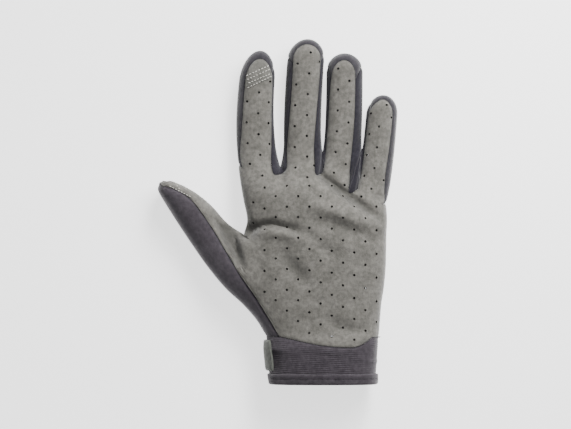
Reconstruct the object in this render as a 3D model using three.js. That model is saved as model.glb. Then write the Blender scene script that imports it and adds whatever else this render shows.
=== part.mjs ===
import * as THREE from 'three';

// A left-hand off-road motorcycle glove, lying palm up on its flattened back.
// +X runs from the thumb side to the little finger, +Y towards the fingertips, +Z up out of the palm.
// One shared outer skin is laid out first. Each panel is a wall cut from that skin along its seams.

// Driving dimensions, in millimetres
const palmWidth = 94.6;
const palmLength = 108.4; // cuff seam to the webs of the fingers
const palmThickness = 27;
const fingerThickness = 15.5;
const thumbLength = 121.4; // corner of the cuff to the tip of the thumb
const thumbWidth = 27;
const thumbThickness = 19;
const cuffLength = 30.8;
const cuffThickness = 31;
const fingertipLift = 5; // how far the empty fingers curl up off the surface
const thumbLift = 4;
const suedeWall = 1.2;
const fabricWall = 1.2;
const seamGap = 0.35; // between neighbouring pieces
const hemWidth = 6.2;
const hemWall = 1;
const hemGroove = 0.2; // from the folded edge of the cuff to the bottom of the hem's groove
const strapThickness = 1.8;
const strapInset = 2.5; // from the corner of the cuff's seam
const strapMargin = 2.1; // between the strap and the hem
const strapWidth = cuffLength - hemWidth - strapInset - strapMargin;

// Angle between the length of the hand and the cuff side of the thumb
const thumbAngle = THREE.MathUtils.degToRad(36.3);

// Shares of the thickness at which the sides are widest
const midShare = 0.46;
const fingerRoundness = 2.2;
const palmRoundness = 2.5;
const thumbRootSwell = 1.15; // the thumb is thicker at its root by this factor

// How the skin is divided into facets
const fingerColumns = 4;
const fingerRows = 12;
const palmRows = 14;
const crotchRow = 6;
const thumbRows = 13;
const thumbPanelColumns = 3;
const cuffRows = 4;
const sideSteps = 2; // between the widest line of the side and each seam
const tipRows = 3; // rows at a fingertip that belong to the back panel
const foldSteps = 16; // places along a fold that its depth is measured from

const seamColumn = palmRows - crotchRow;
const thumbColumns = seamColumn + thumbPanelColumns;

// The outline of the hand. along: share of the palm length from the cuff seam.
// left and right: shares of the palm width from the middle of the hand.
const handEdges = [
  { along: -0.29, left: -0.296, right: 0.43 },
  { along: -0.206, left: -0.312, right: 0.432 },
  { along: -0.061, left: -0.33, right: 0.443 },
  { along: 0.024, left: -0.337, right: 0.449 },
  { along: 0.218, left: -0.486, right: 0.467 },
  { along: 0.315, left: -0.556, right: 0.484 },
  { along: 0.436, left: -0.597, right: 0.497 },
  { along: 0.557, left: -0.583, right: 0.501 },
  { along: 0.642, left: -0.535, right: 0.502 },
  { along: 0.727, left: -0.493, right: 0.507 },
  { along: 0.848, left: -0.5, right: 0.5 },
  { along: 1.06, left: -0.524, right: 0.5 },
];
const cornerRow = handEdges[3]; // where the thumb panel, the cuff and the thumb side meet

// The outline of the thumb. reach: share of the thumb length from the corner of the cuff.
// lower, seam and upper: shares of the thumb width from the line between that corner and the tip.
const thumbEdges = [
  { reach: -0.05, lower: -0.03, seam: 0.268, upper: 1.3 },
  { reach: 0.07, lower: 0.06, seam: 0.32, upper: 1.3 },
  { reach: 0.2, lower: 0.02, seam: 0.368, upper: 1.25 },
  { reach: 0.34, lower: -0.1, seam: 0.383, upper: 1.18 },
  { reach: 0.5, lower: -0.14, seam: 0.45, upper: 1.04 },
  { reach: 0.62, lower: -0.13, seam: 0.505, upper: 0.88 },
  { reach: 0.74, lower: -0.107, seam: 0.526, upper: 0.82 },
  { reach: 0.84, lower: -0.078, seam: 0.512, upper: 0.71 },
  { reach: 0.92, lower: -0.05, seam: 0.38, upper: 0.55 },
  { reach: 0.97, lower: -0.03, seam: 0.22, upper: 0.42 },
  { reach: 1, lower: 0, seam: 0.14, upper: 0.27 },
];
const thumbTip = { reach: 1.012, off: 0.12 };
const thumbSeamTip = { reach: 0.98, off: 0.15 };
const crotch = { reach: 0.512, off: 1.037 };
const crotchInside = { reach: 0.471, off: 1.093 };

// The fingers. root and tip: places across the palm, and the height of the root along the hand.
// length: share of the palm length. base, end and bow: shares of the palm width.
// cap, bare: shares of the finger's length.
// Each row of suede gives the dark strip left and right of the suede, as shares of the finger's width.
const fingers = [
  {
    length: 0.726, rootAcross: -0.3785, tipAcross: -0.375, rootAlong: 1.03,
    base: 0.28, end: 0.24, bow: -0.032, cap: 0.25, bare: 0.072,
    suede: [
      { at: 0, left: 0.06, right: 0.2 }, { at: 0.15, left: 0.06, right: 0.15 },
      { at: 0.3, left: 0.12, right: 0.085 }, { at: 0.5, left: 0.16, right: 0.05 },
      { at: 0.75, left: 0.165, right: 0.045 }, { at: 1, left: 0.16, right: 0.1 },
    ],
  },
  {
    length: 0.772, rootAcross: -0.0743, tipAcross: -0.0451, rootAlong: 1.054,
    base: 0.264, end: 0.26, bow: -0.016, cap: 0.173, bare: 0.042,
    suede: [
      { at: 0, left: 0.06, right: 0.2 }, { at: 0.2, left: 0.07, right: 0.19 },
      { at: 0.4, left: 0.13, right: 0.14 }, { at: 0.6, left: 0.163, right: 0.1 },
      { at: 0.8, left: 0.16, right: 0.085 }, { at: 1, left: 0.13, right: 0.11 },
    ],
  },
  {
    length: 0.71, rootAcross: 0.184, tipAcross: 0.2132, rootAlong: 1.03,
    base: 0.262, end: 0.254, bow: 0.0116, cap: 0.162, bare: 0.06,
    suede: [
      { at: 0, left: 0.05, right: 0.27 }, { at: 0.3, left: 0.05, right: 0.24 },
      { at: 0.55, left: 0.067, right: 0.21 }, { at: 0.75, left: 0.09, right: 0.205 },
      { at: 0.88, left: 0.14, right: 0.205 }, { at: 1, left: 0.2, right: 0.23 },
    ],
  },
  {
    length: 0.578, rootAcross: 0.4098, tipAcross: 0.482, rootAlong: 0.909,
    base: 0.232, end: 0.216, bow: 0.009, cap: 0.209, bare: 0.046,
    suede: [
      { at: 0, left: 0.05, right: 0.07 }, { at: 0.12, left: 0.05, right: 0.14 },
      { at: 0.3, left: 0.05, right: 0.19 }, { at: 0.55, left: 0.05, right: 0.165 },
      { at: 0.85, left: 0.07, right: 0.15 }, { at: 1, left: 0.19, right: 0.2 },
    ],
  },
];

// The webs, from outside the index finger to outside the little finger.
// Each row gives the place across and along the hand of the web's seam on the palm side,
// of its widest line, and of its seam on the back.
const webs = [
  { palmX: -0.5, palmY: 1.045, midX: -0.524, midY: 1.06, backX: -0.45, backY: 1.04 },
  { palmX: -0.264, palmY: 1.002, midX: -0.234, midY: 1.054, backX: -0.234, backY: 0.957 },
  { palmX: 0.025, palmY: 1, midX: 0.0604, midY: 1.145, backX: 0.055, backY: 1.018 },
  { palmX: 0.2465, palmY: 0.891, midX: 0.3345, midY: 1.157, backX: 0.32, backY: 1.018 },
  { palmX: 0.478, palmY: 0.824, midX: 0.5, midY: 0.826, backX: 0.42, backY: 0.824 },
];

// The curve of the seam between palm and cuff: how far it drops, as shares of the cuff length.
const cuffSeam = [
  { at: 0, drop: 0 }, { at: 0.2, drop: 0.08 }, { at: 0.5, drop: 0.2 },
  { at: 0.8, drop: 0.24 }, { at: 0.93, drop: 0.16 }, { at: 1, drop: 0.02 },
];

// The folds of the palm side, each a bent line from start over bend to end.
// Places are shares of the palm width and length; depth is a share of the palm thickness
// and width a share of the palm width. A fold with a negative depth is a ridge.
const folds = [
  { x0: -0.483, y0: 0.636, x1: -0.319, y1: 0.703, x2: -0.097, y2: 0.642, depth: 0.15, width: 0.035 },
  { x0: -0.097, y0: 0.642, x1: 0.028, y1: 0.557, x2: 0.16, y2: 0.485, depth: 0.08, width: 0.05 },
  { x0: -0.118, y0: 0.576, x1: -0.063, y1: 0.473, x2: 0.035, y2: 0.37, depth: 0.05, width: 0.07 },
  { x0: -0.306, y0: 0.748, x1: 0.097, y1: 0.715, x2: 0.375, y2: 0.588, depth: 0.06, width: 0.05 },
  { x0: 0.028, y0: 0.994, x1: 0.215, y1: 0.848, x2: 0.458, y2: 0.648, depth: 0.1, width: 0.045 },
  { x0: 0.403, y0: 0.854, x1: 0.451, y1: 0.866, x2: 0.5, y2: 0.86, depth: 0.04, width: 0.03 },
  { x0: -0.674, y0: 0.727, x1: -0.597, y1: 0.606, x2: -0.567, y2: 0.551, depth: 0.05, width: 0.03 },
  { x0: -0.551, y0: 0.66, x1: -0.507, y1: 0.564, x2: -0.493, y2: 0.473, depth: 0.08, width: 0.04 },
  { x0: 0.097, y0: 0.145, x1: 0.229, y1: 0.036, x2: 0.375, y2: 0.06, depth: 0.045, width: 0.045 },
  { x0: -0.361, y0: 0.715, x1: -0.097, y1: 0.69, x2: 0.18, y2: 0.582, depth: -0.045, width: 0.045 },
  { x0: 0.111, y0: 0.97, x1: 0.285, y1: 0.873, x2: 0.458, y2: 0.715, depth: -0.04, width: 0.045 },
];

// The end of the strap on the thumb side of the cuff. across: share of the strap's width from the
// hand side. reach: how far the end comes up onto the palm side, as a share of the last facet there.
const strapEnd = [
  { across: 0, reach: 0.2 }, { across: 0.2, reach: 0.5 }, { across: 0.5, reach: 0.9 },
  { across: 0.85, reach: 0.95 }, { across: 1, reach: 0.7 },
];
const strapSpan = 0.72; // share of the back of the cuff that the strap crosses

const fourchettes = ['fourchette_index_middle', 'fourchette_middle_ring', 'fourchette_ring_little'];

const palmColumns = fingers.length * fingerColumns;

const { lerp, clamp, smoothstep } = THREE.MathUtils;

// A smooth curve through the rows of a table, read at one place along it.
function read(rows, key, column, at) {
  const last = rows.length - 1;
  let i = 0;
  while (i < last - 1 && at > rows[i + 1][key]) i += 1;
  const [a, b] = [rows[i], rows[i + 1]];
  const before = rows[Math.max(i - 1, 0)];
  const after = rows[Math.min(i + 2, last)];
  const span = b[key] - a[key];
  const t = clamp((at - a[key]) / span, 0, 1);
  const slopeA = ((b[column] - before[column]) / (b[key] - before[key])) * span;
  const slopeB = ((after[column] - a[column]) / (after[key] - a[key])) * span;
  const t2 = t * t;
  const t3 = t2 * t;
  return (2 * t3 - 3 * t2 + 1) * a[column] + (t3 - 2 * t2 + t) * slopeA
    + (3 * t2 - 2 * t3) * b[column] + (t3 - t2) * slopeB;
}

const handX = (across) => across * palmWidth;
const handY = (along) => along * palmLength;
const roundCap = (q) => (q >= 1 ? 1 : Math.sqrt(Math.max(0, 1 - (1 - q) ** 2)));
const settle = (s, reach) => (s < reach ? (1 - s / reach) ** 2 : 0);
const dome = (q, power) => (Math.abs(q) >= 1 ? 0 : (1 - Math.abs(q) ** power) ** (1 / power));

// Fingers
const capRadiusShare = 0.7; // the suede's round end against the finger's
const webReach = 0.2; // share of a seam that bends to meet the web
const bowSkew = 0.85; // below 1 the widest bow lies nearer the root
const backBare = 0.07; // shares of the finger's length and width left to the sides on the back
const backInset = 0.2;

function fingerAt(finger, y) {
  return (y - handY(finger.rootAlong)) / handY(finger.length);
}

function fingerTipY(finger) {
  return handY(finger.rootAlong + finger.length);
}

function fingerCap(finger) {
  return finger.cap * handY(finger.length);
}

function fingerAxis(finger, y) {
  const t = fingerAt(finger, y);
  const bow = finger.bow * Math.sin(Math.PI * clamp(t, 0, 1) ** bowSkew);
  return handX(lerp(finger.rootAcross, finger.tipAcross, t) + bow);
}

function fingerHalf(finger, y) {
  return handX(lerp(finger.base, finger.end, clamp(fingerAt(finger, y), 0, 1))) / 2;
}

function fingerSide(finger, side, web, s) {
  const y = lerp(handY(web.midY), fingerTipY(finger), s);
  const outline = (at) => {
    const cap = roundCap((fingerTipY(finger) - at) / fingerCap(finger));
    return fingerAxis(finger, at) + side * fingerHalf(finger, at) * cap;
  };
  const shift = handX(web.midX) - outline(handY(web.midY));
  return [outline(y) + shift * settle(s, webReach), y];
}

// The seam of a finger on the palm side or on the back. s runs from the web to the tip.
function fingerSeam(finger, side, web, s, layer) {
  const palm = layer === 'palm';
  const bare = palm ? finger.bare : backBare;
  const endY = fingerTipY(finger) - bare * handY(finger.length);
  const startY = handY(palm ? web.palmY : web.backY);
  const startX = handX(palm ? web.palmX : web.backX);
  const y = lerp(startY, endY, s);
  const outline = (at, share) => {
    const left = palm ? read(finger.suede, 'at', 'left', share) : backInset;
    const right = palm ? read(finger.suede, 'at', 'right', share) : backInset;
    const cap = roundCap((endY - at) / (capRadiusShare * fingerCap(finger)));
    const half = fingerHalf(finger, at);
    const middle = fingerAxis(finger, at) + (left - right) * half;
    return middle + side * half * (1 - left - right) * cap;
  };
  const shift = startX - outline(startY, 0);
  return [outline(y, s) + shift * settle(s, webReach), y];
}

// Thumb
function thumbPoint(reach, off) {
  const along = reach * thumbLength;
  const across = off * thumbWidth;
  const corner = handEdge('left', cornerRow.along);
  return [
    corner[0] - Math.sin(thumbAngle) * along + Math.cos(thumbAngle) * across,
    corner[1] + Math.cos(thumbAngle) * along + Math.sin(thumbAngle) * across,
  ];
}

function thumbPlace(x, y) {
  const corner = handEdge('left', cornerRow.along);
  const [dx, dy] = [x - corner[0], y - corner[1]];
  return {
    reach: (Math.cos(thumbAngle) * dy - Math.sin(thumbAngle) * dx) / thumbLength,
    off: (Math.cos(thumbAngle) * dx + Math.sin(thumbAngle) * dy) / thumbWidth,
  };
}

const thumbInset = { palm: 0.12, back: 0.2 };
const backSeamShare = 0.55;
const seamStart = -0.04; // reach of the thumb's seam at the cuff
const easeOut = (s, power) => 1 - (1 - s) ** power;
const lowerReach = (s) => easeOut(s, 1.6);
const seamReach = (s) => lerp(seamStart, thumbSeamTip.reach, easeOut(s, 1.5));
const upperReach = (s) => lerp(crotch.reach, thumbTip.reach, s);

// The seams draw in over the last stretch to the tip, so that the two sides meet without crossing.
const tipStretch = 0.3;
const tipInset = (s) => clamp((1 - s) / tipStretch, 0.5, 1);
const tipPull = (s, inset) => (inset > 0 ? (thumbTip.reach - thumbSeamTip.reach) * s : 0);

function thumbLower(s, inset) {
  const at = (t) => {
    const reach = lowerReach(t) - tipPull(t, inset);
    return thumbPoint(reach, read(thumbEdges, 'reach', 'lower', reach) + inset * tipInset(t));
  };
  const corner = handEdge('left', cornerRow.along);
  const wanted = [corner[0] + inset * thumbWidth, corner[1]];
  return shifted(at(s), at(0), wanted, settle(s, webReach));
}

// A point moved by the share of the way that the start of its line lies from where it has to start.
function shifted(point, start, wanted, weight) {
  return [0, 1].map((k) => point[k] + (wanted[k] - start[k]) * weight);
}

function thumbUpper(s, inset) {
  const reach = upperReach(s) - tipPull(s, inset);
  const point = thumbPoint(reach, read(thumbEdges, 'reach', 'upper', reach) - inset * tipInset(s));
  const start = thumbPoint(crotch.reach, read(thumbEdges, 'reach', 'upper', crotch.reach) - inset);
  const goal = inset > 0 ? crotchInside : crotch;
  return shifted(point, start, thumbPoint(goal.reach, goal.off), settle(s, webReach));
}

function thumbSeam(s, layer) {
  const share = layer === 'palm' ? 1 : backSeamShare;
  const at = (reach) => thumbPoint(reach, share * read(thumbEdges, 'reach', 'seam', reach));
  const point = at(seamReach(s));
  const start = at(seamReach(0));
  return shifted(point, start, [cuffSeamX, handY(cornerRow.along)], settle(s, webReach));
}

// Hand
const edgeInset = { palm: 0.045, back: 0.12 };
const cuffSeamShare = 0.094; // width of the thumb panel at the cuff, as a share of the palm width

function handEdge(side, along) {
  return [handX(read(handEdges, 'along', side, along)), handY(along)];
}
const cuffSeamX = handEdge('left', cornerRow.along)[0] + handX(cuffSeamShare);

function leftEdge(share) {
  const top = [handX(webs[0].midX), handY(webs[0].midY)];
  const end = thumbPoint(crotch.reach, crotch.off);
  const along = lerp(webs[0].midY, end[1] / palmLength, share);
  const edge = handEdge('left', along);
  const startShift = top[0] - handEdge('left', webs[0].midY)[0];
  const endShift = end[0] - handEdge('left', end[1] / palmLength)[0];
  return [edge[0] + startShift * (1 - share) ** 2 + endShift * share ** 2, edge[1]];
}

function rightEdge(share) {
  const along = lerp(webs[4].midY, cornerRow.along - cuffSeam.at(-1).drop * cuffLength / palmLength, share);
  return handEdge('right', along);
}

// Where one form gives way to the next. web: share of the palm length on either side of the webs.
// thumbFrom, thumbTo: reach along the thumb. thumbIn, thumbOut: off the thumb's line, on its inside.
// cuffFrom: share of the palm length. cuffTo: share of the cuff length.
const fade = {
  web: 0.17, thumbFrom: 0.4, thumbTo: 0.66, thumbIn: 1.5, thumbOut: 1.15, cuffFrom: 0.1, cuffTo: 0.3,
};
const fingerRise = { from: 0.9, most: 1.2 }; // share of the palm length where the fingers start to lift
const thumbRise = { from: 0.45, most: 1.2 }; // reach where the thumb starts to lift
const joinRadius = 0.12; // of the round between hand and thumb, as a share of the palm thickness
const foldRoom = 0.6; // no fold is deeper than this share of the height above the widest line

// The widest thickness, the height of the widest line and the lift off the surface at one place.
function fingerWeight(x, y) {
  const u = x / palmWidth;
  let i = 0;
  while (i < webs.length - 2 && u > webs[i + 1].palmX) i += 1;
  const t = clamp((u - webs[i].palmX) / (webs[i + 1].palmX - webs[i].palmX), 0, 1);
  const webY = handY(lerp(webs[i].palmY, webs[i + 1].palmY, t));
  return smoothstep(y - webY, -handY(fade.web), handY(fade.web));
}

function thumbWeight(x, y) {
  const place = thumbPlace(x, y);
  const along = smoothstep(place.reach, fade.thumbFrom, fade.thumbTo);
  return along * smoothstep(-place.off, -fade.thumbIn, -fade.thumbOut);
}

// The thickness of the hand, which swells a little into the cuff
function handThickness(y) {
  const cuff = smoothstep(-y, -handY(fade.cuffFrom), cuffLength * fade.cuffTo);
  return lerp(palmThickness, cuffThickness, cuff);
}

function midHeight(x, y) {
  const hand = midShare * handThickness(y);
  const finger = lerp(hand, midShare * fingerThickness, fingerWeight(x, y));
  return lerp(finger, midShare * thumbThickness, thumbWeight(x, y));
}

function lift(x, y) {
  const place = thumbPlace(x, y);
  const start = handY(fingerRise.from);
  const finger = clamp((y - start) / (fingerTipY(fingers[1]) - start), 0, fingerRise.most);
  const thumb = clamp((place.reach - thumbRise.from) / (1 - thumbRise.from), 0, thumbRise.most);
  return fingertipLift * finger ** 2 + thumbLift * thumb ** 2 * thumbWeight(x, y);
}

function fingersHeight(x, y, base) {
  let height = base;
  for (const finger of fingers) {
    const toTip = fingerTipY(finger) - y;
    if (toTip <= 0) continue;
    const cap = roundCap(toTip / fingerCap(finger));
    const q = (x - fingerAxis(finger, y)) / (fingerHalf(finger, y) * cap);
    const rise = (1 - midShare) * fingerThickness * dome(q, fingerRoundness);
    height = Math.max(height, base + rise * cap);
  }
  return height;
}

function handHeight(x, y, base) {
  const along = clamp(y / palmLength, handEdges[0].along, handEdges.at(-1).along);
  const left = handEdge('left', along)[0];
  const right = handEdge('right', along)[0];
  const q = (2 * x - left - right) / (right - left);
  return base + (1 - midShare) * handThickness(y) * dome(q, palmRoundness);
}

// The thumb's round end, and where its root rises out of the hand and slims down, all as reach
const thumbCap = { room: 0.01, length: 0.13 };
const thumbSwell = { start: 0.05, risen: 0.3, full: 0.2, none: 0.7 };

function thumbHeight(x, y, base) {
  const { reach, off } = thumbPlace(x, y);
  const at = clamp(reach, thumbEdges[0].reach, 1);
  const lower = read(thumbEdges, 'reach', 'lower', at);
  const upper = read(thumbEdges, 'reach', 'upper', at);
  const q = (2 * off - lower - upper) / (upper - lower);
  const cap = roundCap((thumbTip.reach + thumbCap.room - reach) / thumbCap.length);
  const swell = lerp(thumbRootSwell, 1, smoothstep(at, thumbSwell.full, thumbSwell.none));
  const rise = (1 - midShare) * thumbThickness * swell;
  return base + rise * dome(q, fingerRoundness) * cap * smoothstep(at, thumbSwell.start, thumbSwell.risen);
}

function foldDepth(x, y) {
  let depth = 0;
  for (const fold of folds) {
    let nearest = Infinity;
    for (let i = 0; i <= foldSteps; i += 1) {
      const t = i / foldSteps;
      const [a, b, c] = [(1 - t) ** 2, 2 * t * (1 - t), t ** 2];
      const fx = handX(a * fold.x0 + b * fold.x1 + c * fold.x2);
      const fy = handY(a * fold.y0 + b * fold.y1 + c * fold.y2);
      nearest = Math.min(nearest, Math.hypot(x - fx, y - fy));
    }
    depth += fold.depth * palmThickness * Math.exp(-((nearest / handX(fold.width)) ** 2));
  }
  return depth;
}

// The larger of two heights, with the corner between them rounded off.
function smoothMax(a, b, radius) {
  const h = clamp(0.5 + (0.5 * (a - b)) / radius, 0, 1);
  return lerp(b, a, h) + radius * h * (1 - h);
}

function palmHeight(x, y) {
  const base = midHeight(x, y);
  const hand = handHeight(x, y, base);
  const digits = lerp(hand, fingersHeight(x, y, base), fingerWeight(x, y));
  const thumb = thumbHeight(x, y, base);
  const weight = thumbWeight(x, y);
  const joined = lerp(smoothMax(digits, thumb, joinRadius * palmThickness), thumb, weight);
  const depth = Math.min(foldDepth(x, y), foldRoom * (joined - base));
  return joined - depth + lift(x, y);
}

// The back lies on the surface, and the cuff's back rises off it to make room for the strap.
const cuffRaise = { from: 0.16, to: 0.03 }; // shares of the palm length

function backHeight(x, y) {
  const risen = smoothstep(-y, -handY(cuffRaise.from), -handY(cuffRaise.to));
  return (seamGap + strapThickness) * risen + lift(x, y);
}

const heightOf = { palm: palmHeight, back: backHeight };

// The skin: shared points and faces, each face marked with the piece it belongs to.
const points = [];
const faces = [];

function addPoint(x, y, z) {
  points.push(new THREE.Vector3(x, y, z));
  return points.length - 1;
}

function addQuad(piece, a, b, c, d) {
  const corners = [a, b, c, d].filter((id, i, all) => all.indexOf(id) === i);
  faces.push({ piece, corners: corners.slice(0, 3) });
  if (corners.length === 4) faces.push({ piece, corners: [corners[0], corners[2], corners[3]] });
}

// Faces over a grid of point numbers, looking up on the palm side and down on the back.
function addGrid(grid, layer, pieceAt) {
  for (let r = 0; r < grid.length - 1; r += 1) {
    for (let c = 0; c < grid[r].length - 1; c += 1) {
      const ring = [grid[r][c], grid[r + 1][c], grid[r + 1][c + 1], grid[r][c + 1]];
      if (layer === 'back') ring.reverse();
      addQuad(pieceAt(c), ...ring);
    }
  }
}

// Rows lie closer together towards a tip.
const fingerRowShare = (j) => easeOut(j / fingerRows, 1.7);
const thumbRowShare = (j) => easeOut(j / thumbRows, 1.25);

// Shares of the hand's edges over which they bend to meet the webs and the crotch of the thumb
const patchSettle = { web: 0.5, crotch: 0.6, outside: 0.3 };

// The outline of the part of the hand below the fingers, as four curves for one smooth patch.
function handPatch(layer) {
  const palm = layer === 'palm';
  const inset = handX(edgeInset[layer]);
  const web = webs.map((w) => [handX(palm ? w.palmX : w.backX), handY(palm ? w.palmY : w.backY)]);
  const inside = thumbPoint(crotchInside.reach, crotchInside.off);
  const split = crotchRow / palmRows;
  const cornerY = handY(cornerRow.along);
  const top = (u) => {
    const i = Math.min(Math.floor(u * fingers.length), fingers.length - 1);
    const t = u * fingers.length - i;
    return [lerp(web[i][0], web[i + 1][0], t), lerp(web[i][1], web[i + 1][1], t)];
  };
  const left = (v) => {
    if (v >= split) {
      const t = (v - split) / (1 - split);
      return [lerp(inside[0], cuffSeamX, t), lerp(inside[1], cornerY, t)];
    }
    const share = v / split;
    const edge = leftEdge(share);
    const ends = [leftEdge(0), leftEdge(1)];
    const startShift = [web[0][0] - ends[0][0] - inset, web[0][1] - ends[0][1]];
    const endShift = [inside[0] - ends[1][0] - inset, inside[1] - ends[1][1]];
    const weights = [settle(share, patchSettle.web), settle(1 - share, patchSettle.crotch)];
    return [0, 1].map((k) => edge[k] + (k === 0 ? inset : 0)
      + startShift[k] * weights[0] + endShift[k] * weights[1]);
  };
  const right = (v) => {
    const edge = rightEdge(v);
    const start = rightEdge(0);
    const weight = settle(v, patchSettle.outside);
    const shift = [web[4][0] - start[0] + inset, web[4][1] - start[1]];
    return [edge[0] - inset + shift[0] * weight, edge[1] + shift[1] * weight];
  };
  const end = right(1);
  const bottom = (u) => [
    lerp(cuffSeamX, end[0], u),
    lerp(cornerY, end[1], u) - (palm ? seamDrop(lerp(cuffSeamShare, 1, u)) - seamDrop(1) * u : 0),
  ];
  return { top, bottom, left, right };
}

function seamDrop(share) {
  return cuffLength * read(cuffSeam, 'at', 'drop', share);
}

function patchPoint({ top, bottom, left, right }, u, v) {
  return [0, 1].map((k) => {
    const sides = (1 - u) * left(v)[k] + u * right(v)[k] + (1 - v) * top(u)[k] + v * bottom(u)[k];
    const corners = (1 - u) * (1 - v) * top(0)[k] + u * (1 - v) * top(1)[k]
      + (1 - u) * v * bottom(0)[k] + u * v * bottom(1)[k];
    return sides - corners;
  });
}

// One side of the glove: the hand, its fingers, the thumb and the cuff, sharing their edge points.
function laySheet(layer) {
  const height = heightOf[layer];
  const place = ([x, y]) => addPoint(x, y, height(x, y));
  const patch = handPatch(layer);
  const hand = [];
  for (let r = 0; r <= palmRows; r += 1) {
    hand.push([]);
    for (let c = 0; c <= palmColumns; c += 1) {
      hand[r].push(place(patchPoint(patch, c / palmColumns, r / palmRows)));
    }
  }
  const digits = fingers.map((finger, i) => layFinger(finger, i, layer, hand[0], place));
  const thumb = layThumb(layer, hand, place);
  const cuff = layCuff(layer, hand, thumb);
  const body = layer === 'palm' ? 'palm_panel' : 'back_panel';
  addGrid(hand, layer, () => body);
  // The fingers run the other way from their first row, so their rows are turned round.
  for (const digit of digits) addGrid([...digit].reverse(), layer, () => body);
  const thumbPiece = (c) => (layer === 'palm' && c < seamColumn ? 'palm_panel' : 'thumb_panel');
  addGrid(thumb, layer, thumbPiece);
  addGrid(cuff, layer, () => 'cuff');
  return { hand, digits, thumb, cuff };
}

function layFinger(finger, index, layer, firstRow, place) {
  const start = index * fingerColumns;
  const rows = [firstRow.slice(start, start + fingerColumns + 1)];
  for (let j = 1; j < fingerRows; j += 1) {
    const s = fingerRowShare(j);
    const left = fingerSeam(finger, -1, webs[index], s, layer);
    const right = fingerSeam(finger, 1, webs[index + 1], s, layer);
    const row = [];
    for (let c = 0; c <= fingerColumns; c += 1) {
      const t = c / fingerColumns;
      row.push(place([lerp(left[0], right[0], t), lerp(left[1], right[1], t)]));
    }
    rows.push(row);
  }
  const tip = place(fingerSeam(finger, 1, webs[index + 1], 1, layer));
  rows.push(Array(fingerColumns + 1).fill(tip));
  return rows;
}

function layThumb(layer, hand, place) {
  const inset = thumbInset[layer];
  const rows = [];
  for (let j = 0; j < thumbRows; j += 1) {
    const s = thumbRowShare(j);
    const upper = thumbUpper(s, inset);
    const seam = thumbSeam(s, layer);
    const lower = thumbLower(s, inset);
    const row = [];
    for (let c = 0; c <= thumbColumns; c += 1) {
      if (j === 0 && c <= seamColumn) {
        row.push(hand[crotchRow + c][0]);
        continue;
      }
      const inner = c <= seamColumn;
      const t = inner ? c / seamColumn : (c - seamColumn) / thumbPanelColumns;
      const [from, to] = inner ? [upper, seam] : [seam, lower];
      row.push(place([lerp(from[0], to[0], t), lerp(from[1], to[1], t)]));
    }
    rows.push(row);
  }
  const tip = place(thumbPoint(thumbSeamTip.reach, thumbSeamTip.off));
  rows.push(Array(thumbColumns + 1).fill(tip));
  return rows;
}

const cuffEnd = () => handY(cornerRow.along) - cuffLength;
// The curve of the first row fades out before the hem.
const curveLeft = (q) => Math.max(0, 1 - q / (cuffRows - 1));
const cuffRowY = (q) => {
  const share = q / (cuffRows - 1);
  return q === cuffRows ? cuffEnd() : lerp(0, cuffEnd() + hemWidth, share);
};

function layCuff(layer, hand, thumb) {
  const first = [...thumb[0].slice(seamColumn + 1).reverse(), ...hand[palmRows]];
  const rows = [first];
  const start = points[first[0]].x;
  const width = points[first.at(-1)].x - start;
  for (let q = 1; q <= cuffRows; q += 1) {
    const inset = handX(edgeInset[layer]);
    const left = cuffEdge('left', q)[0] + thumbInset[layer] * thumbWidth;
    const right = cuffEdge('right', q)[0] - inset;
    const row = first.map((id) => {
      const { x, y } = points[id];
      const px = lerp(left, right, (x - start) / width);
      const py = cuffRowY(q) + y * curveLeft(q);
      return addPoint(px, py, heightOf[layer](px, py));
    });
    rows.push(row);
  }
  return rows;
}

function cuffEdge(side, q) {
  const y = cuffRowY(q) + handY(cornerRow.along) * curveLeft(q);
  return [handEdge(side, y / palmLength)[0], y];
}

// The side of the glove from the thumb side of the cuff round every digit to the far side of the cuff.
// Each station ties a point of the palm side to one of the back over the widest line between them.
function layStations(palm, back) {
  const stations = [];
  const add = (piece, mid, pick, backPiece = piece) => {
    stations.push({ piece, backPiece, mid, palm: pick(palm), back: pick(back) });
  };
  for (let q = cuffRows; q >= 1; q -= 1) add('cuff', cuffEdge('left', q), (s) => s.cuff[q][0]);
  for (let j = 0; j < thumbRows; j += 1) {
    add('thumb_panel', thumbLower(thumbRowShare(j), 0), (s) => s.thumb[j].at(-1));
  }
  const tip = thumbPoint(thumbTip.reach, thumbTip.off);
  add('palm_panel', tip, (s) => s.thumb[thumbRows][0], 'thumb_panel');
  for (let j = thumbRows - 1; j >= 1; j -= 1) {
    const mid = thumbUpper(thumbRowShare(j), 0);
    add('palm_panel', mid, (s) => s.thumb[j][0], 'thumb_panel');
  }
  for (let r = crotchRow; r >= 1; r -= 1) {
    add('palm_panel', leftEdge(r / crotchRow), (s) => s.hand[r][0]);
  }
  fingers.forEach((finger, i) => {
    const strip = (side, j) => {
      const between = side < 0 ? i - 1 : i;
      const inside = between >= 0 && between < fourchettes.length;
      return inside && j < fingerRows - tipRows ? fourchettes[between] : 'back_panel';
    };
    for (let j = 0; j < fingerRows; j += 1) {
      const mid = fingerSide(finger, -1, webs[i], fingerRowShare(j));
      add(strip(-1, j), mid, (s) => s.digits[i][j][0]);
    }
    add('back_panel', [fingerAxis(finger, fingerTipY(finger)), fingerTipY(finger)],
      (s) => s.digits[i][fingerRows][0]);
    for (let j = fingerRows - 1; j >= 1; j -= 1) {
      const mid = fingerSide(finger, 1, webs[i + 1], fingerRowShare(j));
      add(strip(1, j - 1), mid, (s) => s.digits[i][j].at(-1));
    }
  });
  for (let r = 0; r < palmRows; r += 1) {
    add('palm_panel', rightEdge(r / palmRows), (s) => s.hand[r].at(-1));
  }
  for (let q = 0; q <= cuffRows; q += 1) {
    add('cuff', q === 0 ? rightEdge(1) : cuffEdge('right', q), (s) => s.cuff[q].at(-1));
  }
  return stations;
}
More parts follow.
